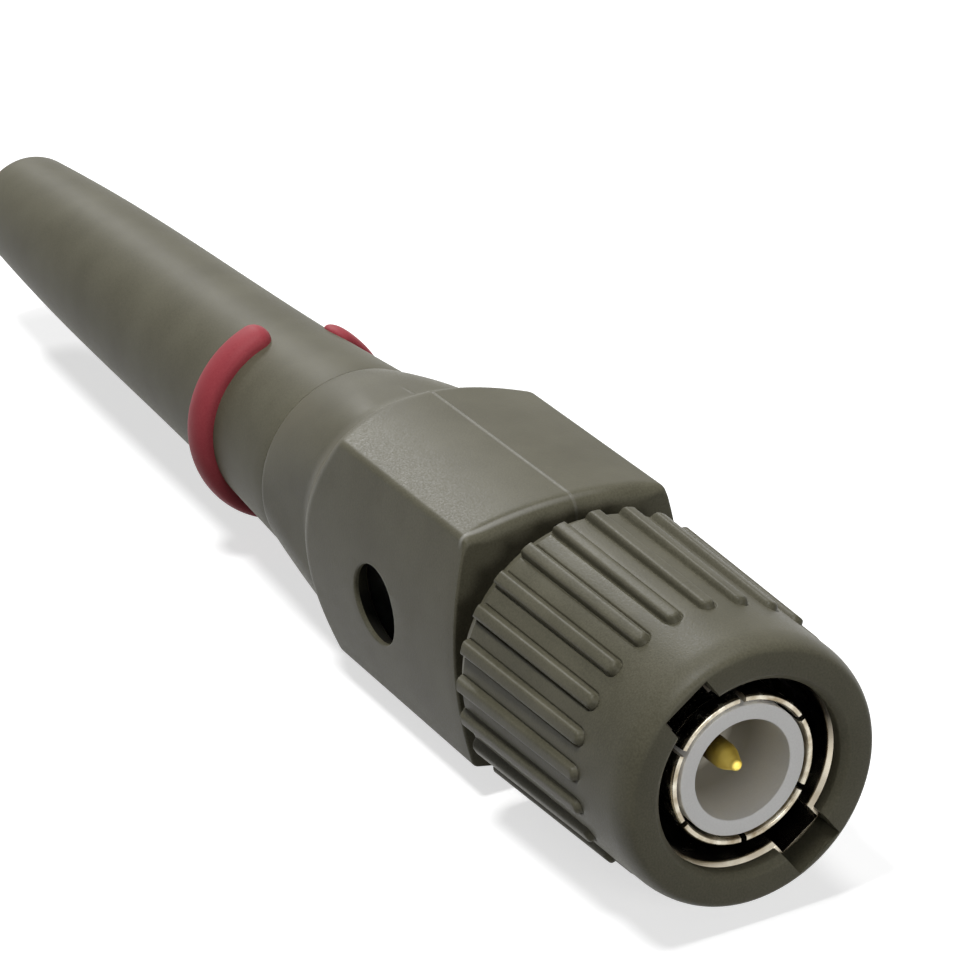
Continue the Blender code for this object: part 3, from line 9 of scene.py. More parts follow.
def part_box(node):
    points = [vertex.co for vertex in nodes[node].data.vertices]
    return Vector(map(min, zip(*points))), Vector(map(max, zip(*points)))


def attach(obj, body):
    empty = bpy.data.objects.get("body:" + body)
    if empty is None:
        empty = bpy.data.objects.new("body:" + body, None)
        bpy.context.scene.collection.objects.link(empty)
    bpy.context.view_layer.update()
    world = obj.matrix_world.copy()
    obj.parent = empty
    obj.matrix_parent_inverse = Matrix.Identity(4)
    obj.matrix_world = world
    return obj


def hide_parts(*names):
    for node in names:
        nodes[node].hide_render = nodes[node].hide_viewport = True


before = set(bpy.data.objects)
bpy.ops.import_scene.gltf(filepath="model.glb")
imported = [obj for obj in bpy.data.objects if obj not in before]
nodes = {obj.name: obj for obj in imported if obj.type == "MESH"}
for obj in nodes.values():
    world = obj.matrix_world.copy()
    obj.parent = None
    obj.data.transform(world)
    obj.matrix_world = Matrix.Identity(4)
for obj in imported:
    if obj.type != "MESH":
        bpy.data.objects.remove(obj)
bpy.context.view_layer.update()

# depths are in millimetres behind the grip's front, radii in millimetres from one of the two axes
mm = 0.001
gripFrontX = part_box("coupling_grip")[1].x
plugAxisZ = (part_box("outer_contact")[0].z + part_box("outer_contact")[1].z) / 2
bootAxisZ = (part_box("crimp_ferrule")[0].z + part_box("crimp_ferrule")[1].z) / 2
notchAngle = 125.3  # of the upper lug notch, from +Y towards +Z
mergeDistance = 1e-7  # metres, as are the next two
pickDistance = 2e-6
seedSize = 0.0001


def deselect():
    bpy.ops.object.select_all(action="DESELECT")


# shader nodes

def newMaterial(name):
    material = bpy.data.materials.new(name)
    material.use_nodes = True
    tree = material.node_tree
    return material, tree, tree.nodes["Principled BSDF"]


def feed(tree, socket, value):
    # a value is another node's output, a colour or a number
    if isinstance(value, bpy.types.NodeSocket):
        tree.links.new(value, socket)
    else:
        socket.default_value = (*value, 1) if isinstance(value, tuple) else value


def combine(tree, operation, first, second=0.0):
    node = tree.nodes.new("ShaderNodeMath")
    node.operation = operation
    feed(tree, node.inputs[0], first)
    feed(tree, node.inputs[1], second)
    return node.outputs[0]


def times(tree, first, second):
    return combine(tree, "MULTIPLY", first, second)


def spread(tree, value, low, high, start=0.3, end=0.7):
    span = tree.nodes.new("ShaderNodeMapRange")
    ends = {"Value": value, "From Min": start, "From Max": end, "To Min": low, "To Max": high}
    for name, one in ends.items():
        feed(tree, span.inputs[name], one)
    return span.outputs["Result"]


def mixColours(tree, factor, first, second, blend="MIX"):
    mix = tree.nodes.new("ShaderNodeMix")
    mix.data_type = "RGBA"
    mix.blend_type = blend
    for name, value in (("Factor", factor), ("A", first), ("B", second)):
        feed(tree, mix.inputs[name], value)
    return mix.outputs["Result"]


def seenDirectly(tree):
    # 1 for rays from the camera, and for those that a mirror or clear surface passes on
    path = tree.nodes.new("ShaderNodeLightPath")
    total = path.outputs["Is Camera Ray"]
    for name in ("Is Glossy Ray", "Is Transmission Ray"):
        total = combine(tree, "MAXIMUM", total, path.outputs[name])
    return total


# camera, lamps and floor

viewSetup = {
    "azimuth": 62.179,
    "elevation": 25.855,
    "roll": -2.1015,
    "distance": 0.2,
    "aside": -0.0132224,
    "above": 0.0139134,
    "lens": 154.35,
    "sensorWidth": 36,
    "clipStart": 0.005,
    "clipEnd": 20,
}


def makeCamera(setup):
    azimuth = math.radians(setup["azimuth"])
    elevation = math.radians(setup["elevation"])
    roll = math.radians(setup["roll"])
    back = Vector((
        math.sin(azimuth) * math.cos(elevation),
        -math.cos(azimuth) * math.cos(elevation),
        math.sin(elevation),
    ))
    levelRight = Vector((math.cos(azimuth), math.sin(azimuth), 0))
    levelUp = back.cross(levelRight)
    right = levelRight * math.cos(roll) + levelUp * math.sin(roll)
    up = levelUp * math.cos(roll) - levelRight * math.sin(roll)
    gripFront = Vector((gripFrontX, 0, plugAxisZ))
    place = gripFront + right * setup["aside"] + up * setup["above"] + back * setup["distance"]
    deselect()
    bpy.ops.object.camera_add(location=place)
    camera = bpy.context.object
    camera.rotation_euler = Matrix((right, up, back)).transposed().to_euler()
    camera.data.sensor_width = setup["sensorWidth"]
    camera.data.lens = setup["lens"]
    camera.data.clip_start = setup["clipStart"]
    camera.data.clip_end = setup["clipEnd"]
    bpy.context.scene.camera = camera


lampSetup = {
    "aim": (0.02, 0, 0.008),
    "lamps": {
        "top": {"place": (-0.03, 0.09, 0.4), "size": 0.12, "watts": 0.25},
        "nose": {"place": (0.04, -0.1, 0.4), "size": 0.09, "watts": 1.25},
        "sheen": {"place": (-0.38, 0.08, 0.29), "size": 0.1, "watts": 0.9},
        "front": {"place": (0.42, -0.03, 0.15), "size": 0.14, "watts": 0.5},
    },
    "worldStrength": 0.07,
    "worldColour": (0.96, 0.98, 1),
    "shownWhite": (1, 1, 1),
}


def makeLamps(setup):
    aim = Vector(setup["aim"])
    for name, one in setup["lamps"].items():
        place = Vector(one["place"])
        deselect()
        bpy.ops.object.light_add(type="AREA", location=place)
        lamp = bpy.context.object
        lamp.name = name
        lamp.data.shape = "DISK"
        lamp.data.size = one["size"]
        lamp.data.energy = one["watts"]
        lamp.rotation_euler = (aim - place).to_track_quat("-Z", "Y").to_euler()
    world = bpy.data.worlds.new("studio")
    bpy.context.scene.world = world
    world.use_nodes = True
    tree = world.node_tree
    tree.nodes.clear()
    out = tree.nodes.new("ShaderNodeOutputWorld")
    soft = tree.nodes.new("ShaderNodeBackground")
    feed(tree, soft.inputs["Color"], setup["worldColour"])
    feed(tree, soft.inputs["Strength"], setup["worldStrength"])
    shown = tree.nodes.new("ShaderNodeBackground")
    feed(tree, shown.inputs["Color"], setup["shownWhite"])
    mix = tree.nodes.new("ShaderNodeMixShader")
    tree.links.new(seenDirectly(tree), mix.inputs["Fac"])
    tree.links.new(soft.outputs["Background"], mix.inputs[1])
    tree.links.new(shown.outputs["Background"], mix.inputs[2])
    tree.links.new(mix.outputs["Shader"], out.inputs["Surface"])


floorSetup = {
    "size": 6,
    "drop": 0.0002,
    "roughness": 0.9,
    "shownColour": (0.62, 0.62, 0.62),
    "bounceColour": (0.17, 0.17, 0.16),
    "glowColour": (1, 1, 1),
    "glow": 0.66,
    "glowFar": 1.0,
    "glowFrom": 0.12,  # distances over which the glow grows, past the shadow
    "glowTo": 0.4,
}


def makeFloor(setup):
    deselect()
    bpy.ops.mesh.primitive_plane_add(size=setup["size"], location=(0, 0, -setup["drop"]))
    floor = bpy.context.object
    floor.name = "floor"
    material, tree, shader = newMaterial("paleFloor")
    direct = seenDirectly(tree)
    colour = mixColours(tree, direct, setup["bounceColour"], setup["shownColour"])
    feed(tree, shader.inputs["Base Color"], colour)
    feed(tree, shader.inputs["Roughness"], setup["roughness"])
    feed(tree, shader.inputs["Specular IOR Level"], 0.0)
    feed(tree, shader.inputs["Emission Color"], setup["glowColour"])
    place = tree.nodes.new("ShaderNodeTexCoord")
    away = tree.nodes.new("ShaderNodeVectorMath")
    away.operation = "LENGTH"
    tree.links.new(place.outputs["Object"], away.inputs[0])
    grown = spread(
        tree, away.outputs["Value"],
        setup["glow"], setup["glowFar"], setup["glowFrom"], setup["glowTo"],
    )
    feed(tree, shader.inputs["Emission Strength"], times(tree, direct, grown))
    floor.data.materials.append(material)


makeCamera(viewSetup)
makeLamps(lampSetup)
makeFloor(floorSetup)
print("camera, lamps and floor placed")


# ways of working

def placeAt(depth, radius, axisZ, angle=90.0):
    turn = math.radians(angle)
    across = radius * mm * math.cos(turn)
    up = radius * mm * math.sin(turn)
    return Vector((gripFrontX - depth * mm, across, axisZ + up))


def quarterTurns(steps):
    return [math.radians(90 * i / steps) for i in range(steps + 1)]


def activate(piece):
    deselect()
    piece.select_set(True)
    bpy.context.view_layer.objects.active = piece


def smoothShade(piece, angle=35.0):
    activate(piece)
    bpy.ops.object.shade_smooth_by_angle(angle=math.radians(angle))


def applyPlace(piece):
    activate(piece)
    bpy.ops.object.transform_apply(location=True, rotation=True, scale=True)


def turnPiece(name, outline, axisZ, steps=180, closed=True, rounds=4):
    # an outline of corners, each (depth, radius) or (depth, radius, rounding), is drawn, rounded
    # and spun about the axis
    deselect()
    first = placeAt(outline[0][0], outline[0][1], axisZ)
    bpy.ops.mesh.primitive_plane_add(size=seedSize, location=first)
    piece = bpy.context.object
    piece.name = name
    piece.data.name = name
    applyPlace(piece)
    bpy.ops.object.mode_set(mode="EDIT")
    bpy.ops.mesh.select_all(action="SELECT")
    bpy.ops.mesh.merge(type="CENTER")
    last = first
    for corner in list(outline[1:]) + ([outline[0]] if closed else []):
        place = placeAt(corner[0], corner[1], axisZ)
        bpy.ops.mesh.extrude_vertices_move(TRANSFORM_OT_translate={"value": place - last})
        last = place
    bpy.ops.mesh.select_all(action="SELECT")
    bpy.ops.mesh.remove_doubles(threshold=mergeDistance)
    for corner in outline:
        if len(corner) == 3:
            shape = bmesh.from_edit_mesh(piece.data)
            place = placeAt(corner[0], corner[1], axisZ)
            for vert in shape.verts:
                vert.select_set((vert.co - place).length < pickDistance)
            shape.select_flush_mode()
            bmesh.update_edit_mesh(piece.data)
            bpy.ops.mesh.bevel(offset=corner[2] * mm, segments=rounds, affect="VERTICES")
    bpy.ops.mesh.select_all(action="SELECT")
    bpy.ops.mesh.spin(steps=steps, angle=math.tau, center=(0, 0, axisZ), axis=(1, 0, 0))
    bpy.ops.mesh.select_all(action="SELECT")
    bpy.ops.mesh.remove_doubles(threshold=mergeDistance)
    bpy.ops.mesh.normals_make_consistent(inside=False)
    bpy.ops.object.mode_set(mode="OBJECT")
    smoothShade(piece)
    return piece


def gridPiece(name, points, wrap=True, ends=False):
    # a flat grid is laid over points[column][row]
    # rows may close into a loop, and open ends may be capped
    if wrap:
        points = np.concatenate([points, points[:, :1]], axis=1)
    columns, rows = points.shape[0], points.shape[1]
    deselect()
    bpy.ops.mesh.primitive_grid_add(x_subdivisions=columns - 1, y_subdivisions=rows - 1, size=2)
    piece = bpy.context.object
    piece.name = name
    piece.data.name = name
    mesh = piece.data
    flat = np.zeros(len(mesh.vertices) * 3)
    mesh.vertices.foreach_get("co", flat)
    flat = flat.reshape(-1, 3)
    column = np.rint((flat[:, 0] + 1) / 2 * (columns - 1)).astype(int)
    row = np.rint((flat[:, 1] + 1) / 2 * (rows - 1)).astype(int)
    mesh.vertices.foreach_set("co", points[column, row].ravel())
    mesh.update()
    bpy.ops.object.mode_set(mode="EDIT")
    bpy.ops.mesh.select_all(action="SELECT")
    bpy.ops.mesh.remove_doubles(threshold=mergeDistance)
    if ends:
        bpy.ops.mesh.fill_holes(sides=0)
    bpy.ops.mesh.select_all(action="SELECT")
    bpy.ops.mesh.normals_make_consistent(inside=False)
    bpy.ops.object.mode_set(mode="OBJECT")
    smoothShade(piece)
    return piece


def carve(piece, cutter):
    activate(piece)
    modifier = piece.modifiers.new("carve", "BOOLEAN")
    modifier.operation = "DIFFERENCE"
    modifier.solver = "EXACT"
    modifier.object = cutter
    bpy.ops.object.modifier_apply(modifier=modifier.name)
    bpy.data.objects.remove(cutter)


def boxCutter(low, high, angle):
    # corners are (depth, across, height), the last two from the plug's axis, about which it is turned
    deselect()
    ends = [Vector((gripFrontX - d * mm, y * mm, plugAxisZ + z * mm)) for d, y, z in (low, high)]
    size = [abs(ends[1][i] - ends[0][i]) for i in range(3)]
    bpy.ops.mesh.primitive_cube_add(size=1, location=(ends[0] + ends[1]) / 2, scale=size)
    cutter = bpy.context.object
    applyPlace(cutter)
    centre = Vector((0, 0, plugAxisZ))
    turn = Matrix.Rotation(math.radians(angle), 4, "X")
    cutter.data.transform(Matrix.Translation(centre) @ turn @ Matrix.Translation(-centre))
    return cutter


def finishPiece(piece, material, body, slot, *replaced):
    piece.data.materials.clear()
    piece.data.materials.append(material)
    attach(piece, body)
    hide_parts(*replaced)


# finishes

def objectPlace(tree, stretch=(1, 1, 1)):
    place = tree.nodes.new("ShaderNodeTexCoord")
    mapping = tree.nodes.new("ShaderNodeMapping")
    mapping.inputs["Scale"].default_value = stretch
    tree.links.new(place.outputs["Object"], mapping.inputs["Vector"])
    return mapping.outputs["Vector"]


def addNoise(tree, place, scale, detail):
    noise = tree.nodes.new("ShaderNodeTexNoise")
    noise.inputs["Scale"].default_value = scale
    noise.inputs["Detail"].default_value = detail
    tree.links.new(place, noise.inputs["Vector"])
    return noise.outputs["Fac"]


def addBump(tree, height, strength, distance, normal=None):
    bump = tree.nodes.new("ShaderNodeBump")
    bump.inputs["Strength"].default_value = strength
    bump.inputs["Distance"].default_value = distance
    tree.links.new(height, bump.inputs["Height"])
    if normal is not None:
        tree.links.new(normal, bump.inputs["Normal"])
    return bump.outputs["Normal"]


def band(tree, value, middle, half, flat=0.3):
    # 1 over the flat share of a band, falling to 0 at its edges
    away = combine(tree, "ABSOLUTE", combine(tree, "SUBTRACT", value, middle))
    return spread(tree, away, 1, 0, half * flat, half)


def addPaintedLightAndShade(tree, place, tone, setup):
    # painted highlights: lighter lines along the parting flash and the top front edge stand in for the
    # light these catch; the edge line fades out from the left side towards the right
    split = tree.nodes.new("ShaderNodeSeparateXYZ")
    tree.links.new(place, split.inputs["Vector"])
    along, aside, up = split.outputs["X"], split.outputs["Y"], split.outputs["Z"]
    rear, full = (gripFrontX - setup[key] * mm for key in ("flashRear", "flashFull"))
    forward = spread(tree, along, 0, 1, rear, full)
    flash = times(tree, band(tree, aside, setup["flashAside"], setup["flashHalf"]), forward)
    edge = band(tree, along, gripFrontX - setup["edgeDepth"] * mm, setup["edgeHalf"])
    edge = times(tree, edge, spread(tree, up, 0, 1, *setup["edgeHeights"]))
    edge = times(tree, edge, spread(tree, aside, 1, 0, *setup["edgeFade"]))
    for paintedHighlight, gain in ((flash, setup["flashGain"]), (edge, setup["edgeGain"])):
        extra = mixColours(tree, paintedHighlight, (0, 0, 0), (gain,) * 3)
        tone = mixColours(tree, 1.0, tone, extra, "ADD")
    # painted shade: the wall of the trimmer hole and the hollow behind it are painted near black, where
    # they lie unlit
    hollow = band(tree, aside, 0.0, setup["hollowHalf"], setup["hollowInner"])
    holeX = gripFrontX - setup["holeDepth"] * mm
    holeZ = plugAxisZ - setup["holeDrop"] * mm
    for value, middle in ((along, holeX), (up, holeZ)):
        around = band(tree, value, middle, setup["hollowReach"], setup["hollowCore"])
        hollow = times(tree, hollow, around)
    return mixColours(tree, hollow, tone, setup["hollowTone"])


def paintShadeByDepth(tree, place, tone, setup):
    # painted shade: the colour darkens further in from the front, where little light reaches; where given,
    # the upper side is darkened as well
    split = tree.nodes.new("ShaderNodeSeparateXYZ")
    tree.links.new(place, split.inputs["Vector"])
    ends = [gripFrontX - depth * mm for depth in (setup["deepTo"], setup["deepFrom"])]
    unshaded = spread(tree, split.outputs["X"], 0, 1, *ends)
    # painted shade: above the given heights the colour is darkened too
    if "shadeAbove" in setup:
        low, high = (plugAxisZ + height * mm for height in setup["shadeAbove"])
        unshaded = times(tree, unshaded, spread(tree, split.outputs["Z"], 1, 0, low, high))
    return mixColours(tree, unshaded, setup["deepShadeTone"], tone)


def mouldedFinish(name, setup, paintedLightAndShade=None):
    material, tree, shader = newMaterial(name)
    place = objectPlace(tree)
    cloud = addNoise(tree, place, setup["cloudScale"], setup["cloudDetail"])
    speck = addNoise(tree, place, setup["grainScale"], setup["grainDetail"])
    mottle = combine(tree, "ADD", cloud, speck)
    share = spread(tree, mottle, 0, 1, setup["mottleLow"], setup["mottleHigh"])
    tone = mixColours(tree, share, setup["darkTone"], setup["lightTone"])
    if "deepShadeTone" in setup:
        tone = paintShadeByDepth(tree, place, tone, setup)
    if paintedLightAndShade:
        tone = addPaintedLightAndShade(tree, place, tone, paintedLightAndShade)
    tree.links.new(tone, shader.inputs["Base Color"])
    roughness = spread(tree, speck, setup["roughnessLow"], setup["roughnessHigh"])
    tree.links.new(roughness, shader.inputs["Roughness"])
    coarse = addBump(tree, cloud, setup["waveStrength"], setup["waveHeight"])
    fine = addBump(tree, speck, setup["grainStrength"], setup["grainHeight"], coarse)
    tree.links.new(fine, shader.inputs["Normal"])
    shader.inputs["Specular IOR Level"].default_value = setup["specular"]
    return material


plasticSetup = {
    "darkTone": (0.072, 0.067, 0.044),
    "lightTone": (0.106, 0.100, 0.069),
    "cloudScale": 260.0,
    "cloudDetail": 4,
    "grainScale": 9000.0,
    "grainDetail": 2,
    "mottleLow": 0.72,
    "mottleHigh": 1.28,
    "roughnessLow": 0.38,
    "roughnessHigh": 0.52,
    "waveStrength": 0.12,
    "waveHeight": 0.00003,
    "grainStrength": 0.4,
    "grainHeight": 0.000015,
    "specular": 0.14,
}
gripPlasticSetup = dict(
    plasticSetup, darkTone=(0.064, 0.060, 0.039), lightTone=(0.097, 0.091, 0.062),
    grainStrength=0.55, grainHeight=0.000018, specular=0.16,
)
bootSetup = dict(plasticSetup, grainStrength=0.15, roughnessLow=0.45, roughnessHigh=0.58)
clipSetup = dict(
    plasticSetup, darkTone=(0.26, 0.034, 0.045), lightTone=(0.31, 0.05, 0.06),
    grainStrength=0.15, roughnessLow=0.5, roughnessHigh=0.62,
)
# painted shade: the insulator's bore darkens further in from the front
insulatorSetup = dict(
    plasticSetup, darkTone=(0.86, 0.85, 0.84), lightTone=(0.92, 0.915, 0.905),
    grainStrength=0.1, roughnessLow=0.3, roughnessHigh=0.42,
    deepFrom=1.1, deepTo=4.6, deepShadeTone=(0.4, 0.375, 0.315),
)
rubberSetup = dict(
    plasticSetup, darkTone=(0.02, 0.02, 0.02), lightTone=(0.035, 0.034, 0.033),
    roughnessLow=0.6, roughnessHigh=0.75,
)
boardSetup = dict(
    plasticSetup, darkTone=(0.02, 0.12, 0.05), lightTone=(0.04, 0.2, 0.09),
    roughnessLow=0.3, roughnessHigh=0.4,
)
ceramicSetup = dict(plasticSetup, darkTone=(0.42, 0.3, 0.16), lightTone=(0.55, 0.4, 0.23))
chipSetup = dict(plasticSetup, darkTone=(0.02, 0.02, 0.02), lightTone=(0.04, 0.04, 0.04))
trimmerSetup = dict(plasticSetup, darkTone=(0.09, 0.075, 0.06), lightTone=(0.14, 0.12, 0.1))


def metalFinish(name, setup):
    material, tree, shader = newMaterial(name)
    place = objectPlace(tree)
    cloud = addNoise(tree, place, setup["cloudScale"], setup["cloudDetail"])
    tone = mixColours(tree, spread(tree, cloud, 0, 1), setup["darkTone"], setup["lightTone"])
    if "deepShadeTone" in setup:
        tone = paintShadeByDepth(tree, place, tone, setup)
    tree.links.new(tone, shader.inputs["Base Color"])
    roughness = spread(tree, cloud, setup["roughnessLow"], setup["roughnessHigh"])
    tree.links.new(roughness, shader.inputs["Roughness"])
    # tool marks: fine rings across the axis
    rings = addNoise(tree, objectPlace(tree, (setup["ringScale"], 0, 0)), 1.0, setup["ringDetail"])
    grooved = addBump(tree, rings, setup["ringStrength"], setup["ringHeight"])
    tree.links.new(grooved, shader.inputs["Normal"])
    shader.inputs["Metallic"].default_value = 1.0
    return material


nickelSetup = {
    "darkTone": (0.50, 0.46, 0.37),
    "lightTone": (0.68, 0.64, 0.53),
    "cloudScale": 700.0,
    "cloudDetail": 3,
    "ringScale": 12000.0,
    "ringDetail": 2,
    "ringStrength": 0.2,
    "ringHeight": 0.000004,
    "roughnessLow": 0.16,
    "roughnessHigh": 0.3,
}
# painted shade: the shell is near black deeper in and over its upper side, so only its lower front rim
# keeps the plated colour and shows a light reflection
shellSetup = dict(
    nickelSetup, darkTone=(0.34, 0.28, 0.2), cloudScale=520.0,
    deepFrom=1.7, deepTo=2.6, deepShadeTone=(0.03, 0.026, 0.02), shadeAbove=(-0.6, 1.6),
)
# painted shade: the outer contact darkens to near black further in from its front
contactSetup = dict(
    nickelSetup, darkTone=(0.24, 0.19, 0.12), cloudScale=1300.0,
    deepFrom=1.5, deepTo=2.1, deepShadeTone=(0.03, 0.026, 0.02),
)
# painted shade: the pin's shank darkens behind the tip, inside the insulator's bore
pinSetup = dict(
    nickelSetup, darkTone=(0.85, 0.62, 0.09), lightTone=(1.0, 0.79, 0.2),
    roughnessLow=0.45, roughnessHigh=0.56, deepFrom=2.3, deepTo=3.4, deepShadeTone=(0.1, 0.06, 0.01),
)
springSetup = dict(
    nickelSetup, darkTone=(0.32, 0.32, 0.31), lightTone=(0.45, 0.45, 0.44),
    roughnessHigh=0.4,
)
tinSetup = dict(
    nickelSetup, darkTone=(0.42, 0.42, 0.42), lightTone=(0.55, 0.55, 0.56),
    roughnessLow=0.3, roughnessHigh=0.5,
)
copperSetup = dict(nickelSetup, darkTone=(0.45, 0.28, 0.19), lightTone=(0.66, 0.45, 0.33))

gripFinish = mouldedFinish("gripPlastic", gripPlasticSetup)
bootFinish = mouldedFinish("bootElastomer", bootSetup)
clipFinish = mouldedFinish("clipRed", clipSetup)
insulatorFinish = mouldedFinish("insulatorWhite", insulatorSetup)
rubberFinish = mouldedFinish("gasketRubber", rubberSetup)
nickelFinish = metalFinish("nickelPlate", nickelSetup)
shellFinish = metalFinish("shellNickel", shellSetup)
contactFinish = metalFinish("contactNickel", contactSetup)
pinFinish = metalFinish("pinGold", pinSetup)
springFinish = metalFinish("springSteel", springSetup)
tinFinish = metalFinish("tinPlate", tinSetup)
copperFinish = metalFinish("tinnedCopper", copperSetup)
boardFinish = mouldedFinish("boardGreen", boardSetup)
ceramicFinish = mouldedFinish("chipCeramic", ceramicSetup)
chipFinish = mouldedFinish("chipBlack", chipSetup)
trimmerFinish = mouldedFinish("trimmerBrown", trimmerSetup)
print("finishes made")


# coupling grip

gripSetup = {
    "length": 16.3,
    "faceRadius": 6.6,
    "frontRadius": 7.2,
    "rearRadius": 7.5,
    "noseDepth": 1.7,
    "mouthRadius": 5.12,
    "mouthChamfer": 0.34,
    "lipDepth": 0.94,
    "boreRadius": 6.0,
    "ribCount": 24,
    "ribStart": 4.3,
    "ribHalfWidth": 0.415,
    "ribFrontHeight": 0.3,
    "ribRearHeight": 0.43,
    "ribSquareness": 6,
    "ribFillet": 0.03,
    "ribTipSlope": 1.15,
    "grooveDepth": 0.09,
    "grooveWidth": 0.055,
    "grooveFrom": 0.97,  # share of a rib's half width
    "ribEnd": 15.3,
    "rimStart": 15.4,
    "rimRadius": 7.03,
    "edge": 0.05,
    "fineEdge": 0.02,
    "lipEdge": 0.03,
    "bead": (13.45, 13.75, 14.1, 14.35),  # depths of the inner bead that keeps the shell in
    "beadRadius": 5.7,
    "notchWidth": 2.8,
    "notchRadius": 6.46,
    "notchDepth": 2.6,
    "notchAhead": 1.0,
    "shadeAngle": 40.0,
    # distances of the mesh's columns from a rib's middle, and depths of its rows
    "columns": (
        0.0, 0.12, 0.22, 0.29, 0.33, 0.36, 0.385, 0.405, 0.42, 0.435, 0.455, 0.48, 0.505,
        0.53, 0.56, 0.6, 0.8,
    ),
    "noseRows": 10,
    "frontRows": (2.4, 3.1, 3.7, 4.0),
    "tipRows": 18,
    "tipRow": 0.04,
    "tipLead": 0.17,
    "ribRows": (5.0, 5.6, 6.4, 7.4, 8.6, 10.0, 11.4, 12.8, 14.0, 14.8, 15.1, 15.25),
    "endRows": 14,
    "endRow": 0.05,
    "rearRows": (16.1, 16.2, 16.26),
    "rearRing": 6.5,
    "boreRow": 7.0,
    "faceRing": 6.1,
}


def bodyRadius(setup, depth):
    share = (depth - setup["noseDepth"]) / (setup["length"] - setup["noseDepth"])
    return setup["frontRadius"] + (setup["rearRadius"] - setup["frontRadius"]) * share


def ribSurface(setup, depth, aside):
    # radius of the ribbed surface at a depth, aside being the distance in millimetres from a rib's middle
    base = bodyRadius(setup, depth)
    half = setup["ribHalfWidth"]
    share = (depth - setup["ribStart"]) / (setup["length"] - setup["ribStart"])
    height = setup["ribFrontHeight"] + (setup["ribRearHeight"] - setup["ribFrontHeight"]) * share
    ahead = max(0.0, setup["ribStart"] + half - depth)
    off = np.hypot(aside, ahead) / half
    bar = height * np.maximum(1 - off ** setup["ribSquareness"], -1.0)
    fillet = setup["ribFillet"]
    blend = np.clip(0.5 + 0.5 * bar / fillet, 0, 1)
    over = bar * blend + fillet * blend * (1 - blend)
    beside = (off - 1) * half - setup["grooveWidth"]
    groove = setup["grooveDepth"] * np.exp(-(beside / setup["grooveWidth"]) ** 2)
    radius = base + np.maximum(over, 0) - np.where(off > setup["grooveFrom"], groove, 0)
    if depth > setup["ribEnd"]:
        tip = bodyRadius(setup, setup["ribEnd"]) + height
        radius = np.minimum(radius, tip - setup["ribTipSlope"] * (depth - setup["ribEnd"]))
    if depth > setup["rimStart"]:
        full = bodyRadius(setup, setup["rimStart"])
        slope = (full - setup["rimRadius"]) / (setup["length"] - setup["rimStart"])
        rim = full - slope * (depth - setup["rimStart"])
        radius = np.maximum(np.minimum(radius, radius - base + rim), rim)
    return radius


def makeGrip(setup):
    pitch = 360.0 / setup["ribCount"]
    halfPitch = math.radians(pitch / 2) * setup["rearRadius"]
    steps = list(setup["columns"]) + [halfPitch]
    asides = [-a for a in reversed(steps[1:])] + steps[:-1]
    angles = []
    for rib in range(setup["ribCount"]):
        centre = notchAngle + (rib + 0.5) * pitch
        angles += [(centre + math.degrees(a / setup["rearRadius"]), a) for a in asides]
    angles.append((angles[0][0] + 360.0, angles[0][1]))
    rows = []  # depth, and the radius or None where the ribs stand
    for turn in quarterTurns(setup["noseRows"]):
        rows.append((
            setup["noseDepth"] * (1 - math.cos(turn)),
            setup["faceRadius"] + (setup["frontRadius"] - setup["faceRadius"]) * math.sin(turn),
        ))
    depths = list(setup["frontRows"])
    depths += [setup["ribStart"] - setup["tipLead"] + setup["tipRow"] * i for i in range(setup["tipRows"])]
    depths += setup["ribRows"]
    depths += [setup["ribEnd"] + setup["endRow"] * i for i in range(setup["endRows"])]
    depths += setup["rearRows"]
    rows += [(depth, None) for depth in depths]
    rear, bore, edge = setup["length"], setup["boreRadius"], setup["edge"]
    lip, mouth, chamfer = setup["lipDepth"], setup["mouthRadius"], setup["mouthChamfer"]
    lipEdge, fine, wide = setup["lipEdge"], setup["fineEdge"], mouth + chamfer
    beadStart, beadRise, beadFall, beadEnd = setup["bead"]
    rows += [
        (rear, setup["rimRadius"] - edge), (rear, setup["rearRing"]), (rear, bore + edge),
        (rear - edge, bore), (beadEnd, bore), (beadFall, setup["beadRadius"]),
        (beadRise, setup["beadRadius"]), (beadStart, bore),
        (setup["boreRow"], bore), (lip, bore), (lip, mouth + lipEdge), (lip - lipEdge, mouth),
        (chamfer + edge, mouth), (chamfer - fine, mouth + fine), (edge, wide - fine * 2),
        (fine / 2, wide + fine / 2), (0.0, wide + fine * 3), (0.0, setup["faceRing"]),
    ]
    turns = np.radians([a for a, _ in angles])
    asideAll = np.array([a for _, a in angles])
    points = np.zeros((len(angles), len(rows), 3))
    for r, (depth, radius) in enumerate(rows):
        radii = ribSurface(setup, depth, asideAll) if radius is None else np.full(len(angles), radius)
        points[:, r, 0] = gripFrontX - depth * mm
        points[:, r, 1] = radii * mm * np.cos(turns)
        points[:, r, 2] = plugAxisZ + radii * mm * np.sin(turns)
    grip = gridPiece("gripSleeve", points)
    half = setup["notchWidth"] / 2
    for side in (0, 180):
        low, high = (-setup["notchAhead"], -half, 0.0), (setup["notchDepth"], half, setup["notchRadius"])
        carve(grip, boxCutter(low, high, notchAngle - 90 + side))
    smoothShade(grip, setup["shadeAngle"])
    finishPiece(grip, gripFinish, "coupling", "moulded_plastic", "coupling_grip")


makeGrip(gripSetup)
print("grip made")


# housing, two shells that meet on the parting plane

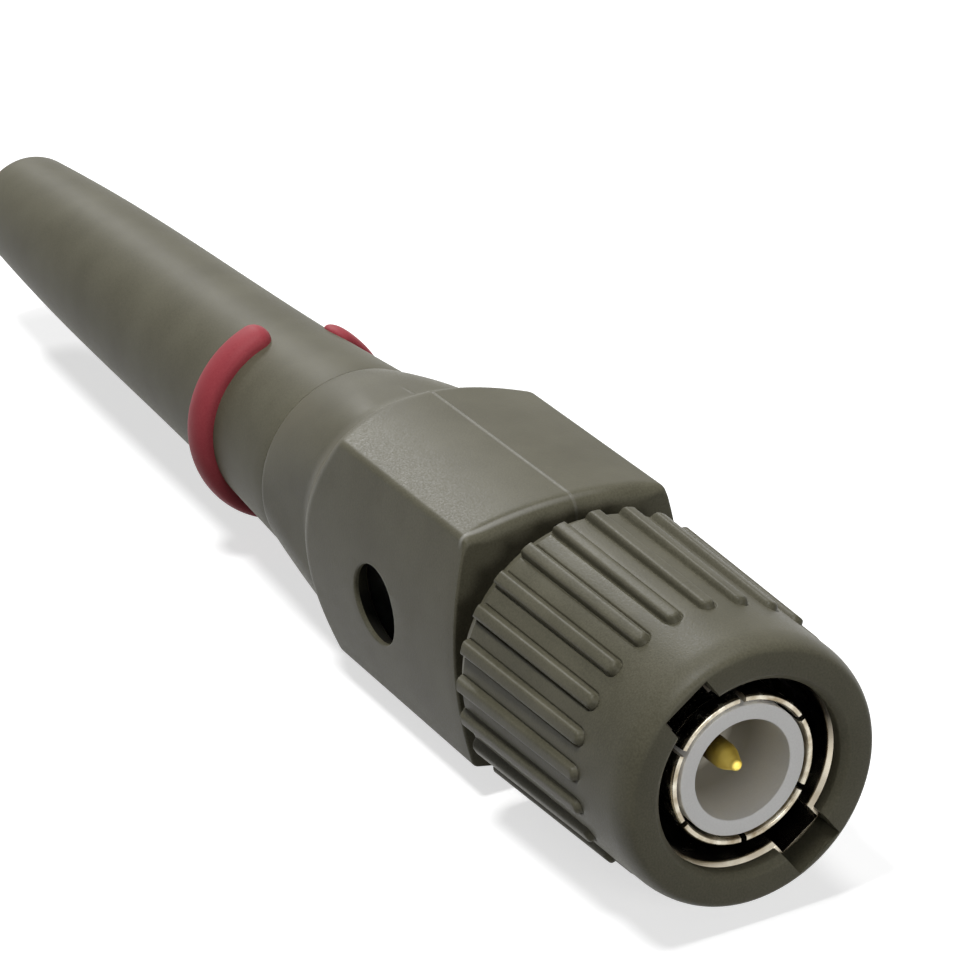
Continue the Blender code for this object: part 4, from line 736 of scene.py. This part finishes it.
housingSetup = {
    "front": 17.66,
    "rear": 41.48,
    "halfWidth": 5.82,
    "halfHeight": 6.495,
    "middle": 0.635,
    "topCrown": 0.72,
    "sideCrown": 0.9,
    "crownBlend": 0.1,
    "edgeBlend": 0.3,
    "rim": 0.9,
    "sideRim": 0.14,
    "rimFrom": 0.72,  # sine of the direction where the rim begins to widen
    "rimBlend": 0.14,
    "rimSteps": 8,
    "shoulder": 31.9,
    "shoulderRadius": 8.973,
    "shoulderEnd": 36.2,
    "shoulderEndRadius": 5.5,
    "shoulderBlend": 0.4,
    "shoulderLead": 2.5,
    "coneLeast": 3.0,
    "collarStart": 30.9,
    "collarHeight": 7.05,
    "collarWidth": 5.65,
    "collarCorner": 3.5,
    "collarEase": 2,
    "cornerEase": 1.5,
    "cornerGap": 0.01,
    "collarEndRadius": 5.93,
    "collarBlend": 0.7,
    "rearRounding": 0.03,
    "rearEase": 0.3,
    "wall": 1.15,
    "cavityRadius": 8.4,
    "frontBore": 5.0,
    "frontWallEnd": 19.2,
    "rearBore": 4.4,
    "rearBoreStart": 34.5,
    "rearChamfer": 0.4,
    "seamAside": 0.55,
    "seamGap": 0.002,
    "flashHeight": 0.04,
    "flashWidth": 0.12,
    "flashReach": 0.05,
    "flashEnd": 37.0,
    "flashFade": 2,
    "holeDepth": 26.6,
    "holeDrop": 0.47,
    "holeRadius": 2.21,
    "holeRounding": 0.11,
    "holeEdge": 0.26,
    "holeUndercut": 0.7,
    "holeInnerEnd": 5.0,
    "holeInnerShare": 0.6,
    "holeStep": 0.1,
    "holeFlare": ((0.1, 0.012), (0.2, 0.3)),  # beyond the rounding, and out from the face
    "holeColumns": 97,
    # degrees of the mesh's columns, and depths of its rows
    "seamTurns": (0.0, 0.2, 0.4, 0.6, 0.8, 1.0, 1.3),
    "edgeTurns": (0.3, 0.6, 0.9, 1.2, 1.5, 1.9, 2.4, 3.0),
    "plainTurns": (92, 269, 1.25),
    "turnGap": 0.6,
    "slideTurn": 0.5,
    "faceRows": (0.0, 0.02, 0.5, 0.97, 1.0),  # shares of the way from the bore to the rim
    "boxRows": (18.75, 19.4, 20.3, 21.6, 23.2, 24.8, 26.4, 28.0, 29.2, 29.8, 30.2, 30.5, 30.8),
    "shoulderRows": (31.0, 0.1, 24),
    "collarRows": (33.4, 0.16, 26),
    "rearRows": (37.6, 38.0, 38.5, 39.0, 39.6, 40.2, 40.8, 41.2),
    "cavityRows": (32.6, 31.6, 30.0, 25.0, 20.0),
}
# painted highlights and painted shade laid over the housing's colour
paintedLightAndShadeSetup = {
    # the rear, full and edge depths and the hole's place are in millimetres, the rest in metres
    # painted highlight: a lighter line along the parting flash
    "flashAside": housingSetup["seamAside"] * mm,
    "flashHalf": 0.00013,
    "flashGain": 0.04,
    "flashRear": 34.0,
    "flashFull": 29.0,
    # painted highlight: a lighter line along the top front edge, fading towards the right
    "edgeDepth": 18.12,
    "edgeHalf": 0.00018,
    "edgeGain": 0.13,
    "edgeHeights": (0.0141, 0.0146),
    "edgeFade": (-0.005, 0.003),
    "holeDepth": housingSetup["holeDepth"],
    "holeDrop": housingSetup["holeDrop"],
    # painted shade: near black inside the trimmer hole and the hollow behind it
    "hollowHalf": 0.00622,
    "hollowInner": 0.985,
    "hollowReach": 0.0031,
    "hollowCore": 0.9,
    "hollowTone": (0.012, 0.011, 0.008),
}
housingFinish = mouldedFinish("housingPlastic", plasticSetup, paintedLightAndShadeSetup)
tiny = 1e-9
nearZero = 1e-6
farOff = 1e3


def softMin(first, second, blend):
    share = np.clip(0.5 + 0.5 * (second - first) / blend, 0, 1)
    return second * (1 - share) + first * share - blend * share * (1 - share)


def softMax(first, second, blend):
    return -softMin(-first, -second, blend)


def positiveRoot(square, line, constant):
    under = -line - np.sqrt(np.maximum(line * line - 4 * square * constant, 0))
    return np.where(under < -tiny, 2 * constant / np.minimum(under, -tiny), farOff)


def boxReach(setup, turns):
    # distance from the boot's axis to the crowned box, along each direction
    across, up = np.cos(turns), np.sin(turns)
    middle, half = setup["middle"], setup["halfHeight"]
    bend = setup["sideCrown"] / half ** 2
    side = positiveRoot(
        bend * up ** 2, np.abs(across) - 2 * bend * middle * up,
        bend * middle ** 2 - setup["halfWidth"] - setup["sideCrown"],
    )
    bend = setup["topCrown"] / setup["halfWidth"] ** 2
    out = half + setup["topCrown"]
    top = positiveRoot(bend * across ** 2, up, -(out + middle))
    bottom = positiveRoot(bend * across ** 2, -up, -(out - middle))
    return softMin(side, softMin(top, bottom, setup["crownBlend"]), setup["edgeBlend"])


def collarReach(setup, turns, depth):
    share = (depth - setup["collarStart"]) / (setup["rear"] - setup["collarStart"])
    share = min(max(share, 0.0), 1.0)
    end = setup["collarEndRadius"]
    wide = setup["collarWidth"] + (end - setup["collarWidth"]) * share ** setup["collarEase"]
    high = setup["collarHeight"] + (end - setup["collarHeight"]) * share ** setup["collarEase"]
    corner = setup["collarCorner"]
    corner += (end - setup["cornerGap"] - corner) * share ** setup["cornerEase"]
    across, up = np.abs(np.cos(turns)), np.abs(np.sin(turns))
    toSide = wide / np.maximum(across, nearZero)
    toTop = high / np.maximum(up, nearZero)
    reach = across * (wide - corner) + up * (high - corner)
    inside = reach ** 2 - (wide - corner) ** 2 - (high - corner) ** 2 + corner ** 2
    toCorner = reach + np.sqrt(np.maximum(inside, 0))
    overTop = np.where(toTop * across <= wide - corner, toTop, toCorner)
    return np.where(toSide * up <= high - corner, toSide, overTop)


def housingReach(setup, turns, depth):
    box = boxReach(setup, turns)
    fall = setup["shoulderRadius"] - setup["shoulderEndRadius"]
    slope = fall / (setup["shoulderEnd"] - setup["shoulder"])
    cone = setup["shoulderRadius"] - slope * (depth - setup["shoulder"])
    if depth > setup["shoulder"] - setup["shoulderLead"]:
        box = softMin(box, np.full_like(box, max(cone, setup["coneLeast"])), setup["shoulderBlend"])
    if depth > setup["collarStart"]:
        box = softMax(box, collarReach(setup, turns, depth), setup["collarBlend"])
    return box


def circleReach(radius, lift, turns):
    up = np.sin(turns)
    return lift * up + np.sqrt(radius ** 2 - (lift * np.cos(turns)) ** 2)


def halfColumns(setup):
    # columns run over the half turn from the top seam round the side to the bottom seam
    turned = [90 + a for a in setup["seamTurns"]] + [270 - a for a in setup["seamTurns"]]
    near = [-a for a in reversed(setup["edgeTurns"])] + [0.0] + list(setup["edgeTurns"])
    for height in (setup["middle"] + setup["halfHeight"], setup["middle"] - setup["halfHeight"]):
        edge = math.degrees(math.atan2(height, -setup["halfWidth"])) % 360
        turned += [edge + a for a in near]
    for angle in np.arange(*setup["plainTurns"]):
        if all(abs(angle - other) > setup["turnGap"] for other in turned):
            turned.append(float(angle))
    return np.radians(sorted(turned))


def makeHousingHalf(name, side, setup):
    lift = (plugAxisZ - bootAxisZ) / mm
    turned = halfColumns(setup)
    front, rim, rear = setup["front"], setup["rim"], setup["rear"]
    half = math.pi / 2

    def rowTurns(depth):
        # the seam stands aside of the middle, so the columns near it are slid round
        top, bottom = housingReach(setup, np.array([half, 3 * half]), depth)
        topShare = np.clip(1 - (turned - half) / setup["slideTurn"], 0, 1)
        bottomShare = np.clip(1 - (3 * half - turned) / setup["slideTurn"], 0, 1)
        slide = math.asin(setup["seamAside"] / top) * topShare
        slide -= math.asin(setup["seamAside"] / bottom) * bottomShare
        return turned + side * slide

    rows = []  # each a depth, the directions, and the reach in them

    def addRow(depth, reach, at=None, flash=0.0):
        turns = rowTurns(depth if at is None else at)
        radii = reach(turns)
        aside = np.abs(np.abs(radii * np.cos(turns)) - setup["seamAside"])
        nearSeam = np.minimum(turned - half, 3 * half - turned) < setup["flashReach"]
        aside = np.where(nearSeam, aside, np.inf)
        swell = 0.5 + 0.5 * np.cos(math.pi * np.minimum(aside / setup["flashWidth"], 1))
        rows.append((depth, turns, radii + flash * setup["flashHeight"] * swell))

    def outer(depth, less=0.0):
        return lambda turns: housingReach(setup, turns, depth) - less

    def bore(turns):
        return circleReach(setup["frontBore"], lift, turns)

    def rimAt(turns):
        # the front edge is well rounded along the top and tighter down the sides
        share = np.clip((np.abs(np.sin(turns)) - setup["rimFrom"]) / setup["rimBlend"], 0, 1)
        share = share * share * (3 - 2 * share) * (np.sin(turns) > 0)
        return setup["sideRim"] + (rim - setup["sideRim"]) * share

    def shrunk(turns, turn):
        return housingReach(setup, turns, front) - rimAt(turns) * (1 - math.sin(turn))

    for share in setup["faceRows"]:
        addRow(front, lambda turns: bore(turns) + (shrunk(turns, 0) - bore(turns)) * share)
    for i, turn in enumerate(quarterTurns(setup["rimSteps"])[1:], 1):
        back = rimAt(rowTurns(front)) * (1 - math.cos(turn))
        addRow(front + back, lambda turns: shrunk(turns, turn), front, i / setup["rimSteps"])
    depths = list(setup["boxRows"])
    for first, step, count in (setup["shoulderRows"], setup["collarRows"]):
        depths += [first + step * i for i in range(count)]
    depths += list(setup["rearRows"]) + [rear - setup["rearRounding"]]
    for depth in depths:
        flash = min(max((setup["flashEnd"] - depth) / setup["flashFade"], 0.0), 1.0)
        addRow(depth, outer(depth), flash=flash)
    ease = setup["rearRounding"] * setup["rearEase"]
    addRow(rear - ease, outer(rear, ease))
    addRow(rear, outer(rear, setup["rearRounding"]))
    inner, wide = setup["rearBore"], setup["rearBore"] + setup["rearChamfer"]
    for depth, radius in ((rear, wide), (rear, inner), (setup["rearBoreStart"], inner)):
        addRow(depth, lambda turns: np.full_like(turns, radius))
    for depth in setup["cavityRows"]:
        addRow(depth, lambda turns: np.minimum(outer(depth, setup["wall"])(turns), setup["cavityRadius"]))
    addRow(setup["frontWallEnd"], bore)
    points = np.zeros((len(turned), len(rows), 3))
    for r, (depth, turns, radii) in enumerate(rows):
        if side > 0:
            turns = math.pi - turns
        points[:, r, 0] = gripFrontX - depth * mm
        points[:, r, 1] = radii * mm * np.cos(turns) + side * setup["seamGap"] * mm
        points[:, r, 2] = bootAxisZ + radii * mm * np.sin(turns)
    return gridPiece(name, points, ends=True)


def holeCutter(setup):
    # a round plug whose rim flares along the crowned side face; each row of its profile is a radius
    # and a distance out from that face, or None at the flat inner end
    height = (plugAxisZ - bootAxisZ) / mm - setup["holeDrop"]
    radius, rounding, edge = setup["holeRadius"], setup["holeRounding"], setup["holeEdge"]
    wide = radius + setup["holeUndercut"]  # behind a short edge the hole opens wider into the hollow
    profile = [(0.0, None), (radius * setup["holeInnerShare"], None), (wide, None)]
    profile += [(wide, -edge - setup["holeStep"]), (radius, -edge)]
    for turn in quarterTurns(setup["rimSteps"]):
        profile.append((radius + rounding * (1 - math.cos(turn)), -rounding * (1 - math.sin(turn))))
    profile += [(radius + rounding + wider, out) for wider, out in setup["holeFlare"]]
    profile += [(radius / 2, profile[-1][1]), (0.0, profile[-1][1])]
    count = setup["holeColumns"]
    points = np.zeros((count, len(profile), 3))
    turns = np.linspace(0, math.tau, count)
    for r, (reach, out) in enumerate(profile):
        across = reach * np.cos(turns)
        up = height + reach * np.sin(turns)
        crown = 1 - ((up - setup["middle"]) / setup["halfHeight"]) ** 2
        surface = setup["halfWidth"] + setup["sideCrown"] * crown
        away = np.full(count, setup["holeInnerEnd"]) if out is None else surface + out
        points[:, r, 0] = gripFrontX - (setup["holeDepth"] + across) * mm
        points[:, r, 1] = -away * mm
        points[:, r, 2] = bootAxisZ + up * mm
    return gridPiece("holeCutter", points, wrap=False)


housingLeft = makeHousingHalf("housingLeft", -1, housingSetup)
carve(housingLeft, holeCutter(housingSetup))
smoothShade(housingLeft)
housingRight = makeHousingHalf("housingRight", 1, housingSetup)
finishPiece(housingLeft, housingFinish, "plug", "moulded_plastic", "housing_left")
finishPiece(housingRight, housingFinish, "plug", "moulded_plastic", "housing_right")
print("housing made")


# boot and colour clip

bootShape = {
    "start": 41.5,
    "neckRadius": 5.92,
    "ringRadius": 5.25,
    "ringEnd": 51.25,
    "end": 88.0,
    "endRadius": 3.45,
    "startRounding": 0.03,
    "endRounding": 0.6,
    "outletRounding": 0.25,
    "belly": 0.42,
    "bore": 2.3,
    "pocket": 3.7,
    "pocketEnd": 43.0,
    "row": 1.25,
    "firstRow": 1.5,
    "lastRow": 1.4,
}


def bootReach(setup, depth):
    if depth <= setup["ringEnd"]:
        share = (depth - setup["start"]) / (setup["ringEnd"] - setup["start"])
        return setup["neckRadius"] + (setup["ringRadius"] - setup["neckRadius"]) * share
    share = (depth - setup["ringEnd"]) / (setup["end"] - setup["ringEnd"])
    straight = setup["ringRadius"] + (setup["endRadius"] - setup["ringRadius"]) * share
    return straight + setup["belly"] * math.sin(math.pi * share) * share


def makeBoot(setup):
    outline = [
        (setup["start"], setup["pocket"]),
        (setup["start"], setup["neckRadius"], setup["startRounding"]),
    ]
    depth = setup["start"] + setup["firstRow"]
    while depth < setup["end"] - setup["lastRow"]:
        outline.append((depth, bootReach(setup, depth)))
        depth += setup["row"]
    outline += [
        (setup["end"], bootReach(setup, setup["end"]), setup["endRounding"]),
        (setup["end"], setup["bore"], setup["outletRounding"]),
        (setup["pocketEnd"], setup["bore"]),
        (setup["pocketEnd"], setup["pocket"]),
    ]
    boot = turnPiece("strainRelief", outline, bootAxisZ, rounds=5)
    finishPiece(boot, bootFinish, "plug", "boot_elastomer", "strain_relief_boot")


clipShape = {
    "start": 48.75,
    "end": 51.25,
    "proud": 0.93,
    "farProud": 0.5,
    "from": 101.0,
    "to": 419.0,
    "tipAngle": 9.0,
    "tipTurns": (6, 90, 7),
    "leastProud": 0.25,
    "farFrom": 320.0,
    "farOver": 80.0,
    "columns": 150,
    "sectionSteps": 24,
    "squareness": 0.75,
    "foot": (0.8, 0.0, -0.8),
    "footDrop": 0.04,
}


def makeClip(setup):
    middle = (setup["start"] + setup["end"]) / 2
    half = (setup["end"] - setup["start"]) / 2
    start, end, tipAngle = setup["from"], setup["to"], setup["tipAngle"]
    tip = [1 - math.cos(math.radians(a)) for a in range(*setup["tipTurns"])]
    angles = [start + tipAngle * t for t in tip]
    angles += list(np.linspace(start + tipAngle, end - tipAngle, setup["columns"]))
    angles = np.array(angles + [end - tipAngle * t for t in reversed(tip)])
    inward = np.minimum(angles - start, end - angles) / tipAngle
    fit = np.sqrt(np.clip(1 - (1 - np.minimum(inward, 1)) ** 2, 0, 1))
    far = np.clip((angles - setup["farFrom"]) / setup["farOver"], 0, 1)
    proud = setup["proud"] + (setup["farProud"] - setup["proud"]) * far
    proud = proud * np.maximum(fit, setup["leastProud"])
    section = []
    for i in range(setup["sectionSteps"] + 1):
        turn = math.pi * i / setup["sectionSteps"]
        section.append((-math.cos(turn), math.sin(turn) ** setup["squareness"]))
    section += [(along, -setup["footDrop"]) for along in setup["foot"]]
    turns = np.radians(angles)
    points = np.zeros((len(angles), len(section), 3))
    for r, (along, up) in enumerate(section):
        depth = middle + half * along * fit
        base = np.array([bootReach(bootShape, d) for d in depth])
        radii = base + (up * proud if up > 0 else up)
        points[:, r, 0] = gripFrontX - depth * mm
        points[:, r, 1] = radii * mm * np.cos(turns)
        points[:, r, 2] = bootAxisZ + radii * mm * np.sin(turns)
    clip = gridPiece("colourClip", points, ends=True)
    finishPiece(clip, clipFinish, "plug", "marker_red", "marker_ring")


makeBoot(bootShape)
makeClip(clipShape)
print("boot and clip made")


# plug front: bayonet shell, outer contact, insulator and pin

shellShape = {
    "front": 1.0,
    "rear": 13.15,
    "radius": 5.85,
    "bore": 4.95,
    "edge": 0.1,
    "leadIn": 0.22,
    "leadInSlope": 1.3,
    "leadInEdge": 0.05,
    "chamberStart": 8.85,
    "chamberEnd": 11.95,
    "chamberRadius": 5.5,
    "flangeBore": 4.5,
    "slotWidth": 2.46,
    "slotFloor": 5.6,
    "slotInside": 3.0,
    "slotEnd": 4.4,
    "trackStart": 2.1,
    "trackTurn": 75.0,
    "trackRise": 1.9,
    "trackInside": 0.4,
    "trackColumns": 26,
}


def trackCutter(setup, entry):
    # the sloping part of a lug track winds round the bore behind the entry slot
    start, end, floor = setup["trackStart"], setup["slotEnd"], setup["slotFloor"]
    inside = setup["bore"] - setup["trackInside"]
    section = [(start, floor), (end, floor), (end, inside), (start, inside)]
    count = setup["trackColumns"]
    points = np.zeros((count, len(section), 3))
    for c, share in enumerate(np.linspace(0, 1, count)):
        for r, (depth, radius) in enumerate(section):
            angle = entry + setup["trackTurn"] * share
            points[c, r] = placeAt(depth + setup["trackRise"] * share, radius, plugAxisZ, angle)
    return gridPiece("trackCutter", points, ends=True)


def makeShell(setup):
    front, rear, radius, bore = (setup[key] for key in ("front", "rear", "radius", "bore"))
    start, end, chamber = setup["chamberStart"], setup["chamberEnd"], setup["chamberRadius"]
    edge, leadIn = setup["edge"], setup["leadIn"]
    outline = [
        (front, radius, edge), (rear, radius, edge),
        (rear, setup["flangeBore"]), (end, setup["flangeBore"]),
        (end, chamber), (start, chamber), (start, bore),
        (front + leadIn * setup["leadInSlope"], bore, edge), (front, bore + leadIn, setup["leadInEdge"]),
    ]
    shell = turnPiece("bayonetSleeve", outline, plugAxisZ, rounds=6)
    half = setup["slotWidth"] / 2
    for side in (0, 180):
        turn = notchAngle - 90 + side
        low, high = (0.0, -half, setup["slotInside"]), (setup["slotEnd"], half, setup["slotFloor"])
        carve(shell, boxCutter(low, high, turn))
        carve(shell, trackCutter(setup, notchAngle + side))
    smoothShade(shell)
    finishPiece(shell, shellFinish, "coupling", "nickel_plate", "bayonet_shell")


contactShape = {
    "front": 0.95,
    "rear": 8.9,
    "radius": 4.05,
    "bore": 3.65,
    "mouthLead": (0.16, 0.09),
    "noseLead": (0.2, 0.1),
    "beadEnd": 1.85,
    "beadFade": 0.2,
    "relief": 0.1,
    "roundings": {"mouth": 0.03, "nose": 0.05, "crown": 0.12, "bead": 0.1, "bore": 0.06},
    "slotCount": 6,
    "slotWidth": 0.32,
    "slotInside": 3.0,
    "slotOutside": 5.0,
    "slotEnd": 5.55,
    "firstSlot": 30.0,
}


def makeContact(setup):
    front, rear, radius, bore = (setup[key] for key in ("front", "rear", "radius", "bore"))
    mouth, nose, soft = setup["mouthLead"], setup["noseLead"], setup["roundings"]
    bead, slim = setup["beadEnd"], radius - setup["relief"]
    outline = [
        (front, bore + mouth[1], soft["mouth"]), (front, radius - nose[1], soft["nose"]),
        (front + nose[0], radius, soft["crown"]), (bead, radius, soft["bead"]),
        (bead + setup["beadFade"], slim), (rear, slim), (rear, bore),
        (front + mouth[0], bore, soft["bore"]),
    ]
    contact = turnPiece("outerSleeve", outline, plugAxisZ)
    half = setup["slotWidth"] / 2
    for i in range(setup["slotCount"]):
        turn = setup["firstSlot"] + 360.0 * i / setup["slotCount"] - 90
        low, high = (0.0, -half, setup["slotInside"]), (setup["slotEnd"], half, setup["slotOutside"])
        carve(contact, boxCutter(low, high, turn))
    smoothShade(contact)
    finishPiece(contact, contactFinish, "plug", "nickel_plate", "outer_contact")


insulatorShape = {
    "front": 1.0,
    "rear": 8.9,
    "radius": 3.5,
    "bore": 2.67,
    "edge": 0.07,
    "floor": 6.3,
    "floorFillet": 0.3,
    "pinHole": 0.825,
    "pinHoleEdge": 0.1,
}


def makeInsulator(setup):
    outline = [
        (setup["front"], setup["bore"], setup["edge"]), (setup["front"], setup["radius"], setup["edge"]),
        (setup["rear"], setup["radius"]), (setup["rear"], setup["pinHole"]),
        (setup["floor"], setup["pinHole"], setup["pinHoleEdge"]),
        (setup["floor"], setup["bore"], setup["floorFillet"]),
    ]
    insulator = turnPiece("whiteSleeve", outline, plugAxisZ)
    finishPiece(insulator, insulatorFinish, "plug", "white_insulator", "front_insulator")


pinShape = {
    "tip": 1.4,
    "tipRadius": 0.26,
    "tipLength": 0.3,
    "coneStartRadius": 0.33,
    "coneEnd": 2.35,
    "coneRadius": 0.6,
    "coneFade": 0.35,
    "radius": 0.675,
    "collar": 9.35,
    "collarRadius": 1.295,
    "collarLength": 0.45,
    "rear": 22.9,
    "cupRadius": 0.425,
    "cupLength": 1.6,
    "roundings": {"tip": 0.2, "cone": 0.04, "shank": 0.1, "collar": 0.06, "cup": 0.05},
}


def makePin(setup):
    tip, cone, collar, rear = (setup[key] for key in ("tip", "coneEnd", "collar", "rear"))
    collarEnd, cupFloor = collar + setup["collarLength"], rear - setup["cupLength"]
    radius, wide, cup, soft = (setup[key] for key in ("radius", "collarRadius", "cupRadius", "roundings"))
    outline = [
        (tip, 0.0), (tip, setup["tipRadius"], soft["tip"]),
        (tip + setup["tipLength"], setup["coneStartRadius"], soft["cone"]),
        (cone, setup["coneRadius"], soft["shank"]), (cone + setup["coneFade"], radius, soft["shank"]),
        (collar, radius), (collar, wide, soft["collar"]),
        (collarEnd, wide, soft["collar"]), (collarEnd, radius),
        (rear, radius, soft["cup"]), (rear, cup, soft["cup"]), (cupFloor, cup), (cupFloor, 0.0),
    ]
    pin = turnPiece("centrePin", outline, plugAxisZ, steps=72, closed=False, rounds=5)
    finishPiece(pin, pinFinish, "plug", "gold_plate", "centre_pin")


makeShell(shellShape)
makeContact(contactShape)
makeInsulator(insulatorShape)
makePin(pinShape)
print("plug front made")


# carried-over pieces

carriedOver = {
    "thrust_washer": springFinish,
    "rear_insulator": insulatorFinish,
    "plug_body": nickelFinish,
    "face_gasket": rubberFinish,
    "wave_washer": springFinish,
    "retaining_ring": springFinish,
    "body_nut": nickelFinish,
    "ground_lug": tinFinish,
    "shield_can": tinFinish,
    "circuit_board": boardFinish,
    "trimmer_body": trimmerFinish,
    "trimmer_rotor": nickelFinish,
    "front_terminal": tinFinish,
    "rear_terminal": tinFinish,
    "fixed_capacitor": ceramicFinish,
    "damping_resistor": chipFinish,
    "shunt_resistor": chipFinish,
    "signal_lead": copperFinish,
    "cable_anchor": nickelFinish,
    "crimp_ferrule": nickelFinish,
}
for nodeName, material in carriedOver.items():
    nodes[nodeName].data.materials.clear()
    nodes[nodeName].data.materials.append(material)

bpy.context.scene.view_settings.view_transform = "Standard"
